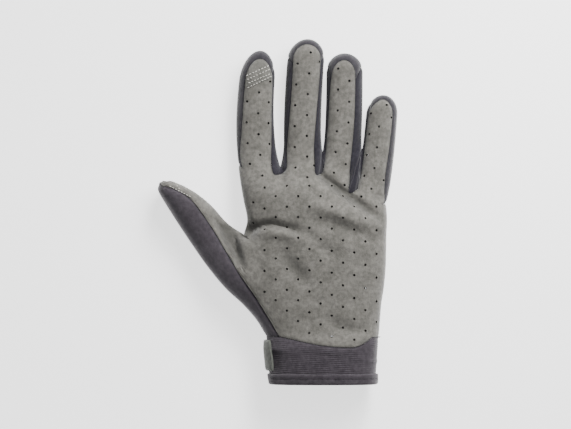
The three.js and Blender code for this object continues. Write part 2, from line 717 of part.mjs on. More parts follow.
// How far the side turns from the widest line to the seam on the palm side and to the one on the back
const palmTurn = Math.PI / 3;
const backTurn = Math.PI / 2;

// Points round the side at one station, from the palm seam over the widest line to the back seam.
function roundSide({ mid, palm, back }) {
  const [x, y] = mid;
  const z = midHeight(x, y) + lift(x, y);
  const curve = (edge, steps, top) => {
    const { x: ex, y: ey, z: ez } = points[edge];
    return steps.map((t) => {
      const angle = t * top;
      const flat = (1 - Math.cos(angle)) / (1 - Math.cos(top));
      return addPoint(lerp(x, ex, flat), lerp(y, ey, flat), lerp(z, ez, Math.sin(angle) / Math.sin(top)));
    });
  };
  const inner = Array.from({ length: sideSteps - 1 }, (_, i) => (i + 1) / sideSteps);
  const middle = addPoint(x, y, z);
  const up = curve(palm, inner, palmTurn).reverse();
  const down = curve(back, inner, backTurn);
  return [palm, ...up, middle, ...down, back];
}

const palmSheet = laySheet('palm');
const backSheet = laySheet('back');
const stations = layStations(palmSheet, backSheet);
const sideRings = stations.map(roundSide);
for (let i = 0; i < stations.length - 1; i += 1) {
  for (let k = 0; k < sideRings[i].length - 1; k += 1) {
    const [a, b] = [sideRings[i], sideRings[i + 1]];
    const piece = k < sideSteps ? stations[i].piece : stations[i].backPiece;
    addQuad(piece, a[k], b[k], b[k + 1], a[k + 1]);
  }
}

// Shared normals, so that neighbouring walls turn the same way along their seam.
const normals = points.map(() => new THREE.Vector3());
for (const { corners } of faces) {
  const [a, b, c] = corners.map((id) => points[id]);
  const normal = b.clone().sub(a).cross(c.clone().sub(a));
  for (const id of corners) normals[id].add(normal);
}
for (const normal of normals) normal.normalize();

function solid(positions, triangles) {
  const geometry = new THREE.BufferGeometry();
  const flat = positions.flatMap((p) => [p.x, p.y, p.z]);
  geometry.setAttribute('position', new THREE.Float32BufferAttribute(flat, 3));
  geometry.setIndex(triangles.flat());
  geometry.computeVertexNormals();
  return geometry;
}

// The sharpest corner of a seam that is still drawn back in full
const sharpest = 0.4;

// A closed wall from the faces of one piece: drawn back from its seams by half the gap, then thickened.
function panelWall(piece, wall) {
  const own = faces.filter((face) => face.piece === piece);
  const edges = new Map();
  for (const { corners } of own) {
    corners.forEach((a, i) => {
      const b = corners[(i + 1) % 3];
      if (edges.has(`${b} ${a}`)) edges.delete(`${b} ${a}`);
      else edges.set(`${a} ${b}`, [a, b, corners]);
    });
  }
  const inward = new Map();
  for (const [a, b, corners] of edges.values()) {
    const [p, q, r] = corners.map((id) => points[id]);
    const face = q.clone().sub(p).cross(r.clone().sub(p));
    const across = face.cross(points[b].clone().sub(points[a])).normalize();
    for (const id of [a, b]) inward.set(id, [...(inward.get(id) ?? []), across]);
  }
  const ids = [...new Set(own.flatMap((face) => face.corners))];
  const number = new Map(ids.map((id, i) => [id, i]));
  const outer = ids.map((id) => {
    const point = points[id].clone();
    const sides = inward.get(id);
    if (!sides) return point;
    const sum = sides.reduce((total, side) => total.add(side), new THREE.Vector3());
    const miter = sum.length() ** 2 / sides.length ** 2;
    point.addScaledVector(sum.divideScalar(sides.length), seamGap / 2 / Math.max(miter, sharpest));
    return point.setZ(Math.max(point.z, 0)); // no seam reaches below the surface the glove lies on
  });
  const inner = ids.map((id, i) => outer[i].clone().addScaledVector(normals[id], -wall));
  const count = ids.length;
  const triangles = [];
  for (const { corners } of own) {
    const [a, b, c] = corners.map((id) => number.get(id));
    triangles.push([a, b, c], [c + count, b + count, a + count]);
  }
  for (const [a, b] of edges.values()) {
    const [i, j] = [number.get(a), number.get(b)];
    triangles.push([j, i, i + count], [j, i + count, j + count]);
  }
  return solid([...outer, ...inner], triangles);
}

// The ring of skin points round one row of the cuff, seen from the open end.
function cuffRing(q) {
  const left = sideRings[cuffRows - q];
  const right = sideRings.at(q - cuffRows - 1);
  const over = palmSheet.cuff[q].slice(1, -1);
  const under = backSheet.cuff[q].slice(1, -1).reverse();
  return [...left].reverse().concat(over, right, under);
}

// A band through sections, each a closed loop of points. A band that does not close on itself has
// its two ends capped, and its sections list their outer points first and their inner points back again.
function band(sections, closed) {
  const size = sections[0].length;
  const triangles = [];
  const spans = closed ? sections.length : sections.length - 1;
  for (let i = 0; i < spans; i += 1) {
    const next = ((i + 1) % sections.length) * size;
    for (let k = 0; k < size; k += 1) {
      const l = (k + 1) % size;
      const [a, b, c, d] = [i * size + k, next + k, next + l, i * size + l];
      triangles.push([a, c, b], [a, d, c]);
    }
  }
  const last = (sections.length - 1) * size;
  for (let k = 0; !closed && k < size / 2 - 1; k += 1) {
    const [a, b, c, d] = [k, k + 1, size - 2 - k, size - 1 - k];
    triangles.push([a, c, b], [a, d, c]);
    triangles.push([last + a, last + b, last + c], [last + a, last + c, last + d]);
  }
  return solid(sections.flat(), triangles);
}

// The binding is folded over the open edge of the cuff, with its groove clear of the cuff's wall.
function hem() {
  const top = cuffRing(cuffRows - 1);
  const end = cuffRing(cuffRows);
  const down = new THREE.Vector3(0, -1, 0);
  const sections = top.map((topId, i) => {
    const normal = normals[end[i]].clone().setY(0).normalize();
    const at = (id, out, drop) => points[id].clone()
      .addScaledVector(normal, out).addScaledVector(down, drop);
    const [inside, thick] = [-(fabricWall + seamGap), seamGap + hemWall];
    return [
      at(topId, thick, 0), at(end[i], thick, thick - seamGap),
      at(end[i], -(fabricWall + thick), thick - seamGap), at(topId, -(fabricWall + thick), 0),
      at(topId, inside, 0), at(end[i], inside, hemGroove),
      at(end[i], seamGap, hemGroove), at(topId, seamGap, 0),
    ];
  });
  return band(sections, true);
}

// One point of the cuff's skin on the line of ring points with this index, at the height y.
function cuffPoint(rings, index, y) {
  let q = 0;
  while (q < cuffRows - 1 && points[rings[q + 1][index]].y > y) q += 1;
  const [from, to] = [rings[q][index], rings[q + 1][index]];
  const t = (y - points[from].y) / (points[to].y - points[from].y);
  return {
    point: points[from].clone().lerp(points[to], t),
    normal: normals[from].clone().lerp(normals[to], t).setY(0).normalize(),
  };
}

// The strap lies against the back of the cuff and comes round its thumb side, where its end shows.
function strap() {
  const rings = Array.from({ length: cuffRows + 1 }, (_, q) => cuffRing(q));
  const topY = handY(cornerRow.along) - strapInset;
  const endSpan = 2 * sideSteps;
  const under = Math.round(strapSpan * (backSheet.cuff[0].length - 2));
  const order = [];
  for (let i = under; i >= 1; i -= 1) order.push(rings[0].length - i);
  for (let i = 0; i < endSpan; i += 1) order.push(i);
  const section = (pick) => {
    const rows = strapEnd.map(({ across, reach }) => pick(topY - across * strapWidth, reach));
    const offset = (row, out) => row.point.clone().addScaledVector(row.normal, out);
    const outer = rows.map((row) => offset(row, seamGap + strapThickness));
    const inner = rows.map((row) => offset(row, seamGap));
    return [...outer, ...inner.reverse()];
  };
  const sections = order.map((index) => section((y) => cuffPoint(rings, index, y)));
  sections.push(section((y, reach) => {
    const near = cuffPoint(rings, endSpan - 1, y);
    const far = cuffPoint(rings, endSpan, y);
    return {
      point: near.point.lerp(far.point, reach),
      normal: near.normal.lerp(far.normal, reach).normalize(),
    };
  }));
  return band(sections, false);
}

export const glove = new THREE.Group();

function addPiece(name, geometry, colour, roughness) {
  const material = new THREE.MeshStandardMaterial({ color: colour, roughness, metalness: 0 });
  const mesh = new THREE.Mesh(geometry, material);
  mesh.name = name;
  glove.add(mesh);
}

addPiece('palm_panel', panelWall('palm_panel', suedeWall), 0x8a8880, 0.95);
addPiece('back_panel', panelWall('back_panel', fabricWall), 0x4b474e, 0.9);
for (const name of fourchettes) addPiece(name, panelWall(name, fabricWall), 0x24222b, 0.9);
addPiece('thumb_panel', panelWall('thumb_panel', fabricWall), 0x4a454c, 0.85);
addPiece('cuff', panelWall('cuff', fabricWall), 0x4a454b, 0.9);
addPiece('cuff_hem', hem(), 0x454048, 0.85);
addPiece('closure_strap', strap(), 0x8d928a, 0.8);

// The origin is the middle of the bottom of the glove's box.
const box = new THREE.Box3().setFromObject(glove);
const middle = box.getCenter(new THREE.Vector3());
glove.position.set(-middle.x, -middle.y, -box.min.z);

export default glove;
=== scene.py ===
"""Dresses an off-road motorcycle glove: one shared skin laid out in fine facets, cut into sewn panels.

The glove lies palm up on its flattened back. +X runs from the thumb side to the little finger, +Y towards
the fingertips and +Z out of the palm. Sizes are in millimetres in the hand's own frame, whose origin is the
middle of the palm at the cuff seam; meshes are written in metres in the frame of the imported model.
"""

import logging
import math
from collections.abc import Callable
from dataclasses import dataclass
from enum import Enum

import bpy
import numpy as np
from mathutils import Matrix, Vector
from mathutils.kdtree import KDTree


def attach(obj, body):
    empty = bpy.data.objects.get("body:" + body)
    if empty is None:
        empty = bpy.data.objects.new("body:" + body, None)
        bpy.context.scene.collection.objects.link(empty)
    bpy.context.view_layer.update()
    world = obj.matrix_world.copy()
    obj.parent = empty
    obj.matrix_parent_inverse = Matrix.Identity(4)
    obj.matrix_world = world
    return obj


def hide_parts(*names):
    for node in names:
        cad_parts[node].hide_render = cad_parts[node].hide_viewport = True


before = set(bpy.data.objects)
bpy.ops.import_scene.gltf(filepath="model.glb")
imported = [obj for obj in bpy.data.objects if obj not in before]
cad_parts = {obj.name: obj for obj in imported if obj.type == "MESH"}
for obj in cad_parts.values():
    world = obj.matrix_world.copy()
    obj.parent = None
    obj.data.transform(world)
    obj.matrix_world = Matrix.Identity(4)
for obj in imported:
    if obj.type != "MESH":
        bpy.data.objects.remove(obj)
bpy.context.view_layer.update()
LOG = logging.getLogger("glove")
logging.basicConfig(level=logging.INFO, format="%(name)s: %(message)s")

MILLIMETRE = 0.001
Socket = bpy.types.NodeSocket
Feed = Socket | float | tuple
# The wrist end of the palm in the object's own frame, in millimetres.
HAND_ORIGIN = np.array([24.23, -84.38, 0.0])
BODY = "root"


class Layer(Enum):
    """The two sides of the glove that the side ribbon joins."""

    PALM = "palm"
    BACK = "back"


def lerp(a: float, b: float, t: float) -> float:
    """Return the value a share t of the way from a to b."""
    return a + (b - a) * t


def clamp(value: float, low: float, high: float) -> float:
    """Return value kept between low and high."""
    return max(low, min(high, value))


def smoothstep(value: float, low: float, high: float) -> float:
    """Return a smooth step from 0 at low to 1 at high."""
    t = clamp((value - low) / (high - low), 0.0, 1.0)
    return t * t * (3 - 2 * t)


def round_cap(q: float) -> float:
    """Return the half width of a round end at share q of its radius."""
    return 1.0 if q >= 1 else math.sqrt(max(0.0, 1 - (1 - q) ** 2))


def settle(s: float, reach: float) -> float:
    """Return a weight that fades from 1 at the start of a line to 0 at reach."""
    return (1 - s / reach) ** 2 if s < reach else 0.0


def dome(q: float, power: float) -> float:
    """Return the height of a rounded cross-section at offset q from its middle."""
    return 0.0 if abs(q) >= 1 else (1 - abs(q) ** power) ** (1 / power)


def turn_out(s: float, reach: float) -> float:
    """Return a weight that leaves 1 in a quarter circle and is 0 from reach on."""
    return 1 - round_cap(s / reach)


def both_ends(t: float) -> float:
    """Return shares that lie closer together towards 0 and towards 1."""
    return (1 - math.cos(math.pi * t)) / 2


def ease_out(s: float, power: float) -> float:
    """Return shares that lie closer together towards 1."""
    return 1 - (1 - s) ** power


def smooth_max(a: float, b: float, radius: float) -> float:
    """Return the larger of two heights with the corner between them rounded."""
    h = clamp(0.5 + 0.5 * (a - b) / radius, 0.0, 1.0)
    return lerp(b, a, h) + radius * h * (1 - h)


Table = list[tuple[float, ...]]


def read(rows: Table, column: int, at: float) -> float:
    """Read a smooth curve through a table whose first column is the place along it.

    Args:
        rows: the table.
        column: the number of the column to read.
        at: the place along the curve.

    Returns:
        The value of the column at that place.
    """
    last = len(rows) - 1
    i = 0
    while i < last - 1 and at > rows[i + 1][0]:
        i += 1
    a, b = rows[i], rows[i + 1]
    before, after = rows[max(i - 1, 0)], rows[min(i + 2, last)]
    span = b[0] - a[0]
    t = clamp((at - a[0]) / span, 0.0, 1.0)
    slope_a = (b[column] - before[column]) / (b[0] - before[0]) * span
    slope_b = (after[column] - a[column]) / (after[0] - a[0]) * span
    t2, t3 = t * t, t * t * t
    return ((2 * t3 - 3 * t2 + 1) * a[column] + (t3 - 2 * t2 + t) * slope_a
            + (3 * t2 - 2 * t3) * b[column] + (t3 - t2) * slope_b)


@dataclass(frozen=True)
class Finger:
    """One finger: places as shares of the palm's width and length, caps as shares of its own length."""

    length: float
    root_across: float
    tip_across: float
    root_along: float
    base: float
    end: float
    bow: float
    cap: float
    bare: float
    suede: tuple[tuple[float, float, float], ...]


# Each row of suede gives a place along the finger and the dark strip to the left and right of it.
FINGERS = (
    Finger(0.726, -0.3785, -0.375, 1.03, 0.28, 0.24, -0.032, 0.25, 0.072,
           ((0, 0.06, 0.2), (0.15, 0.06, 0.15), (0.3, 0.12, 0.085), (0.5, 0.16, 0.05),
            (0.75, 0.165, 0.045), (1, 0.16, 0.1))),
    Finger(0.772, -0.0743, -0.0451, 1.054, 0.264, 0.26, -0.016, 0.173, 0.042,
           ((0, 0.06, 0.2), (0.2, 0.07, 0.19), (0.4, 0.13, 0.14), (0.6, 0.163, 0.1),
            (0.8, 0.16, 0.085), (1, 0.13, 0.11))),
    Finger(0.71, 0.184, 0.2132, 1.03, 0.262, 0.254, 0.0116, 0.162, 0.06,
           ((0, 0.05, 0.27), (0.3, 0.05, 0.24), (0.55, 0.067, 0.21), (0.75, 0.09, 0.205),
            (0.88, 0.14, 0.205), (1, 0.2, 0.23))),
    Finger(0.578, 0.4098, 0.482, 0.909, 0.232, 0.216, 0.009, 0.209, 0.046,
           ((0, 0.05, 0.07), (0.12, 0.05, 0.14), (0.3, 0.05, 0.19), (0.55, 0.05, 0.165),
            (0.85, 0.07, 0.15), (1, 0.19, 0.2))),
)


@dataclass(frozen=True)
class Web:
    """A web between two fingers: its seam on the palm side, its widest line and its seam on the back."""

    palm: tuple[float, float]
    mid: tuple[float, float]
    back: tuple[float, float]


WEBS = (
    Web((-0.5, 1.045), (-0.524, 1.06), (-0.45, 1.04)),
    Web((-0.264, 1.002), (-0.234, 1.054), (-0.234, 0.957)),
    Web((0.025, 1.0), (0.0604, 1.145), (0.055, 1.018)),
    Web((0.2465, 0.891), (0.3345, 1.157), (0.32, 1.018)),
    Web((0.478, 0.824), (0.5, 0.826), (0.42, 0.824)),
)

# Columns: place along the palm, then the left and right edges as shares of its width.
HAND_EDGES: Table = [
    (-0.29, -0.296, 0.43), (-0.206, -0.312, 0.432), (-0.061, -0.33, 0.443), (0.024, -0.337, 0.449),
    (0.218, -0.486, 0.467), (0.315, -0.556, 0.484), (0.436, -0.597, 0.497), (0.557, -0.583, 0.501),
    (0.642, -0.535, 0.502), (0.727, -0.493, 0.507), (0.848, -0.5, 0.5), (1.06, -0.524, 0.5),
]
LEFT, RIGHT = 1, 2
CORNER = HAND_EDGES[3][0]

# Columns: reach along the thumb, then its lower edge, its seam and its upper edge.
THUMB_EDGES: Table = [
    (-0.05, -0.03, 0.268, 1.3), (0.07, 0.06, 0.32, 1.3), (0.2, 0.02, 0.368, 1.25),
    (0.34, -0.1, 0.383, 1.18), (0.5, -0.14, 0.45, 1.04), (0.62, -0.13, 0.505, 0.88),
    (0.74, -0.107, 0.526, 0.82), (0.84, -0.078, 0.512, 0.71), (0.92, -0.05, 0.38, 0.55),
    (0.96, -0.03, 0.25, 0.44), (0.985, 0.0, 0.18, 0.36), (1.0, 0.07, 0.14, 0.22),
]
LOWER, SEAM, UPPER = 1, 2, 3

# Columns: place across the seam, then its drop as a share of the cuff's length.
CUFF_SEAM: Table = [(0, 0), (0.2, 0.08), (0.5, 0.2), (0.8, 0.235), (0.9, 0.175), (1, 0.02)]

# Folds as start, bend and end across and along the palm, depth, width, then how open the start is.
FOLDS: Table = [
    (-0.483, 0.636, -0.31, 0.79, -0.02, 0.585, 0.16, 0.03, 1),
    (-0.22, 0.70, -0.02, 0.65, 0.19, 0.485, 0.085, 0.04, 0),
    (-0.24, 0.57, -0.17, 0.42, 0, 0.33, 0.09, 0.06, 0),
    (-0.1, 0.74, 0.2, 0.7, 0.47, 0.59, 0.07, 0.045, 0),
    (0.04, 1.0, 0.24, 0.86, 0.51, 0.7, 0.18, 0.034, 0.3),
    (0.38, 0.85, 0.451, 0.866, 0.52, 0.86, 0.05, 0.026, 0),
    (-0.674, 0.727, -0.597, 0.606, -0.567, 0.5, 0.15, 0.028, 0.3),
    (-0.59, 0.68, -0.545, 0.57, -0.495, 0.42, 0.27, 0.032, 0.6),
    (0.05, 0.16, 0.229, 0.02, 0.42, 0.08, 0.06, 0.04, 0),
    (-0.42, 0.64, -0.2, 0.69, 0.16, 0.55, -0.09, 0.04, 0),
    (0.08, 0.95, 0.27, 0.83, 0.47, 0.66, -0.05, 0.04, 0),
    (-0.1, 0.82, 0.15, 0.8, 0.38, 0.68, -0.05, 0.04, 0),
]

# Fine creases that only show close up, in the same columns.
CREASES: Table = [
    (-0.66, 0.80, -0.60, 0.70, -0.575, 0.60, 0.03, 0.012, 0),
    (-0.61, 0.72, -0.56, 0.62, -0.54, 0.50, 0.03, 0.012, 0),
    (-0.47, 0.67, -0.43, 0.60, -0.40, 0.55, 0.03, 0.011, 0.5),
    (-0.50, 0.645, -0.40, 0.69, -0.28, 0.70, 0.045, 0.012, 1),
    (-0.28, 0.70, -0.18, 0.69, -0.08, 0.635, 0.03, 0.012, 0),
    (0.06, 0.955, 0.20, 0.86, 0.32, 0.78, 0.025, 0.014, 0),
    (0.30, 0.80, 0.40, 0.72, 0.45, 0.63, 0.025, 0.014, 0),
    (-0.02, 0.60, 0.06, 0.54, 0.13, 0.49, 0.02, 0.014, 0),
    (0.12, 0.60, 0.24, 0.56, 0.36, 0.52, -0.018, 0.022, 0),
    (0.40, 0.88, 0.44, 0.885, 0.49, 0.875, 0.018, 0.01, 0),
    (-0.08, 0.30, 0.02, 0.22, 0.16, 0.19, 0.018, 0.03, 0),
]


@dataclass(frozen=True)
class Sizes:
    """The driving sizes of the glove in millimetres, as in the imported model."""

    palm_width: float = 94.6
    palm_length: float = 108.4
    palm_thickness: float = 27.0
    finger_thickness: float = 15.5
    thumb_length: float = 121.4
    thumb_width: float = 27.0
    thumb_thickness: float = 19.0
    cuff_length: float = 30.8
    cuff_thickness: float = 31.0
    fingertip_lift: float = 5.0
    thumb_lift: float = 4.0
    wall: float = 1.2
    seam_gap: float = 0.35
    hem_width: float = 6.2
    hem_wall: float = 1.0
    strap_thickness: float = 1.8
    strap_inset: float = 2.5
    strap_width: float = 20.0
    mid_share: float = 0.46
    finger_roundness: float = 2.2
    palm_roundness: float = 2.5
    thumb_angle: float = math.radians(36.3)


@dataclass(frozen=True)
class Facets:
    """How finely the skin is divided."""

    finger_columns: int = 14
    finger_rows: int = 52
    palm_rows: int = 70
    crotch_row: int = 30
    thumb_rows: int = 52
    thumb_columns: int = 16
    cuff_rows: int = 100
    hem_rows: int = 5
    side_steps: int = 7
    tip_share: float = 0.25


S = Sizes()
F = Facets()
Point2 = tuple[float, float]
BACK_INSET, BACK_BARE, WEB_REACH, WEB_ROUND = 0.2, 0.07, 0.2, 0.07
EDGE_INSET = {Layer.PALM: 0.045, Layer.BACK: 0.12}
THUMB_INSET = {Layer.PALM: 0.12, Layer.BACK: 0.2}
THUMB_TIP, THUMB_SEAM_TIP = (1.012, 0.12), (0.98, 0.15)
CROTCH, CROTCH_INSIDE = (0.512, 1.037), (0.471, 1.093)
CUFF_SEAM_SHARE = 0.094


def hand_x(across: float) -> float:
    """Return a share of the palm's width in millimetres."""
    return across * S.palm_width


def hand_y(along: float) -> float:
    """Return a share of the palm's length in millimetres."""
    return along * S.palm_length


class Outline:
    """The outlines and seams of fingers, thumb and hand seen from above."""

    @staticmethod
    def edge(side: int, along: float) -> Point2:
        """Return the point of the hand's left or right edge at a place along it."""
        return hand_x(read(HAND_EDGES, side, along)), hand_y(along)

    @staticmethod
    def corner() -> Point2:
        """Return the corner where the thumb side meets the cuff."""
        return Outline.edge(LEFT, CORNER)

    @staticmethod
    def cuff_seam_x() -> float:
        """Return the place across the hand where the thumb panel's seam meets the cuff."""
        return Outline.corner()[0] + hand_x(CUFF_SEAM_SHARE)

    @staticmethod
    def tip_y(finger: Finger) -> float:
        """Return the height of a fingertip."""
        return hand_y(finger.root_along + finger.length)

    @staticmethod
    def axis(finger: Finger, y: float) -> float:
        """Return the middle of a finger at height y."""
        t = (y - hand_y(finger.root_along)) / hand_y(finger.length)
        bow = finger.bow * math.sin(math.pi * clamp(t, 0, 1) ** 0.85)
        return hand_x(lerp(finger.root_across, finger.tip_across, t) + bow)

    @staticmethod
    def half(finger: Finger, y: float) -> float:
        """Return half the width of a finger at height y."""
        t = (y - hand_y(finger.root_along)) / hand_y(finger.length)
        return hand_x(lerp(finger.base, finger.end, clamp(t, 0, 1))) / 2

    @staticmethod
    def finger_side(finger: Finger, side: int, web: Web, s: float) -> Point2:
        """Return the widest line of a finger, from its web at 0 to its tip at 1.

        Args:
            finger: The finger.
            side: The side: -1 towards the thumb, 1 towards the little finger.
            web: The web where the line starts.
            s: The share along the line, 0 at its start.

        Returns:
            The point in millimetres.
        """
        tip = Outline.tip_y(finger)
        y = lerp(hand_y(web.mid[1]), tip, s)

        def outline(at: float) -> float:
            """Return the place across the hand of the plain line."""
            cap = round_cap((tip - at) / (finger.cap * hand_y(finger.length)))
            return Outline.axis(finger, at) + side * Outline.half(finger, at) * cap

        shift = hand_x(web.mid[0]) - outline(hand_y(web.mid[1]))
        return outline(y) + shift * settle(s, WEB_REACH), y

    @staticmethod
    def finger_seam(finger: Finger, side: int, web: Web, s: float, layer: Layer) -> Point2:
        """Return a finger's seam on one layer, from its web at 0 to the tip at 1.

        Args:
            finger: The finger.
            side: The side: -1 towards the thumb, 1 towards the little finger.
            web: The web where the line starts.
            s: The share along the line, 0 at its start.
            layer: The palm layer or the back layer.

        Returns:
            The point in millimetres.
        """
        palm = layer is Layer.PALM
        bare = finger.bare if palm else BACK_BARE
        end_y = Outline.tip_y(finger) - bare * hand_y(finger.length)
        start = web.palm if palm else web.back
        start_x, start_y = hand_x(start[0]), hand_y(start[1])
        y = lerp(start_y, end_y, s)

        def outline(at: float, share: float) -> float:
            """Return the place across the hand of the plain line."""
            left = read(finger.suede, 1, share) if palm else BACK_INSET
            right = read(finger.suede, 2, share) if palm else BACK_INSET
            cap = round_cap((end_y - at) / (0.7 * finger.cap * hand_y(finger.length)))
            half = Outline.half(finger, at)
            middle = Outline.axis(finger, at) + (left - right) * half
            return middle + side * half * (1 - left - right) * cap

        shift = start_x - outline(start_y, 0)
        weight = turn_out(s, WEB_ROUND) if palm else settle(s, WEB_REACH)
        return outline(y, s) + shift * weight, y

    @staticmethod
    def thumb_point(reach: float, off: float) -> Point2:
        """Return the point at a reach along the thumb and a share of its width off its line.

        Args:
            reach: The share of the thumb's length from its corner.
            off: The share of the thumb's width off its line.

        Returns:
            The point in millimetres.
        """
        along, across = reach * S.thumb_length, off * S.thumb_width
        corner = Outline.corner()
        sin, cos = math.sin(S.thumb_angle), math.cos(S.thumb_angle)
        return corner[0] - sin * along + cos * across, corner[1] + cos * along + sin * across

    @staticmethod
    def thumb_place(x: float, y: float) -> tuple[float, float]:
        """Return the reach and the offset of a point on the thumb.

        Args:
            x: The place across the hand in millimetres.
            y: The place along the hand in millimetres.

        Returns:
            The reach and the offset.
        """
        corner = Outline.corner()
        dx, dy = x - corner[0], y - corner[1]
        sin, cos = math.sin(S.thumb_angle), math.cos(S.thumb_angle)
        return (cos * dy - sin * dx) / S.thumb_length, (cos * dx + sin * dy) / S.thumb_width

    @staticmethod
    def shifted(point: Point2, start: Point2, wanted: Point2, weight: float) -> Point2:
        """Return a point moved with the start of its line towards where that has to be."""
        return (point[0] + (wanted[0] - start[0]) * weight, point[1] + (wanted[1] - start[1]) * weight)

    @staticmethod
    def tip_inset(s: float) -> float:
        """Return how far the thumb's seams have drawn in towards its tip."""
        return clamp((1 - s) / 0.3, 0.5, 1)

    @staticmethod
    def tip_pull(s: float, inset: float) -> float:
        """Return how far a seam of the thumb stays behind its outline."""
        return (THUMB_TIP[0] - THUMB_SEAM_TIP[0]) * s if inset > 0 else 0.0

    @staticmethod
    def thumb_lower(s: float, inset: float) -> Point2:
        """Return the thumb's lower edge drawn in by an inset, from the cuff to the tip.

        Args:
            s: The share along the line, 0 at its start.
            inset: How far the line is drawn in, as a share of the thumb's width.

        Returns:
            The point in millimetres.
        """
        def at(t: float) -> Point2:
            """Return the point of the plain line."""
            reach = ease_out(t, 1.6) - Outline.tip_pull(t, inset)
            return Outline.thumb_point(reach, read(THUMB_EDGES, LOWER, reach) + inset * Outline.tip_inset(t))

        corner = Outline.corner()
        wanted = (corner[0] + inset * S.thumb_width, corner[1])
        return Outline.shifted(at(s), at(0), wanted, settle(s, WEB_REACH))

    @staticmethod
    def thumb_upper(s: float, inset: float) -> Point2:
        """Return the thumb's upper edge drawn in by an inset, from the crotch to the tip.

        Args:
            s: The share along the line, 0 at its start.
            inset: How far the line is drawn in, as a share of the thumb's width.

        Returns:
            The point in millimetres.
        """
        reach = lerp(CROTCH[0], THUMB_TIP[0], s) - Outline.tip_pull(s, inset)
        off = read(THUMB_EDGES, UPPER, reach) - inset * Outline.tip_inset(s)
        start = Outline.thumb_point(CROTCH[0], read(THUMB_EDGES, UPPER, CROTCH[0]) - inset)
        goal = CROTCH_INSIDE if inset > 0 else CROTCH
        return Outline.shifted(Outline.thumb_point(reach, off), start, Outline.thumb_point(*goal),
                               settle(s, WEB_REACH))

    @staticmethod
    def thumb_seam(s: float, layer: Layer) -> Point2:
        """Return the seam between the suede and the thumb panel, from the cuff to the tip.

        Args:
            s: The share along the line, 0 at its start.
            layer: The palm layer or the back layer.

        Returns:
            The point in millimetres.
        """
        share = 1.0 if layer is Layer.PALM else 0.55

        def at(t: float) -> Point2:
            """Return the point of the plain line."""
            reach = lerp(-0.04, THUMB_SEAM_TIP[0], ease_out(t, 1.5))
            return Outline.thumb_point(reach, share * read(THUMB_EDGES, SEAM, reach))

        wanted = (Outline.cuff_seam_x(), hand_y(CORNER))
        return Outline.shifted(at(s), at(0), wanted, settle(s, WEB_REACH))

    @staticmethod
    def left_edge(share: float) -> Point2:
        """Return the hand's edge from outside the index finger down to the crotch of the thumb.

        Args:
            share: The share along the edge, 0 at its start.

        Returns:
            The point in millimetres.
        """
        top = (hand_x(WEBS[0].mid[0]), hand_y(WEBS[0].mid[1]))
        end = Outline.thumb_point(*CROTCH)
        edge = Outline.edge(LEFT, lerp(WEBS[0].mid[1], end[1] / S.palm_length, share))
        start_shift = top[0] - Outline.edge(LEFT, WEBS[0].mid[1])[0]
        end_shift = end[0] - Outline.edge(LEFT, end[1] / S.palm_length)[0]
        return edge[0] + start_shift * (1 - share) ** 2 + end_shift * share ** 2, edge[1]

    @staticmethod
    def right_edge(share: float) -> Point2:
        """Return the hand's edge from outside the little finger down to the cuff."""
        end = CORNER - CUFF_SEAM[-1][1] * S.cuff_length / S.palm_length
        return Outline.edge(RIGHT, lerp(WEBS[4].mid[1], end, share))

    @staticmethod
    def seam_drop(share: float) -> float:
        """Return how far the cuff's seam hangs below its corner."""
        return S.cuff_length * read(CUFF_SEAM, 1, share)


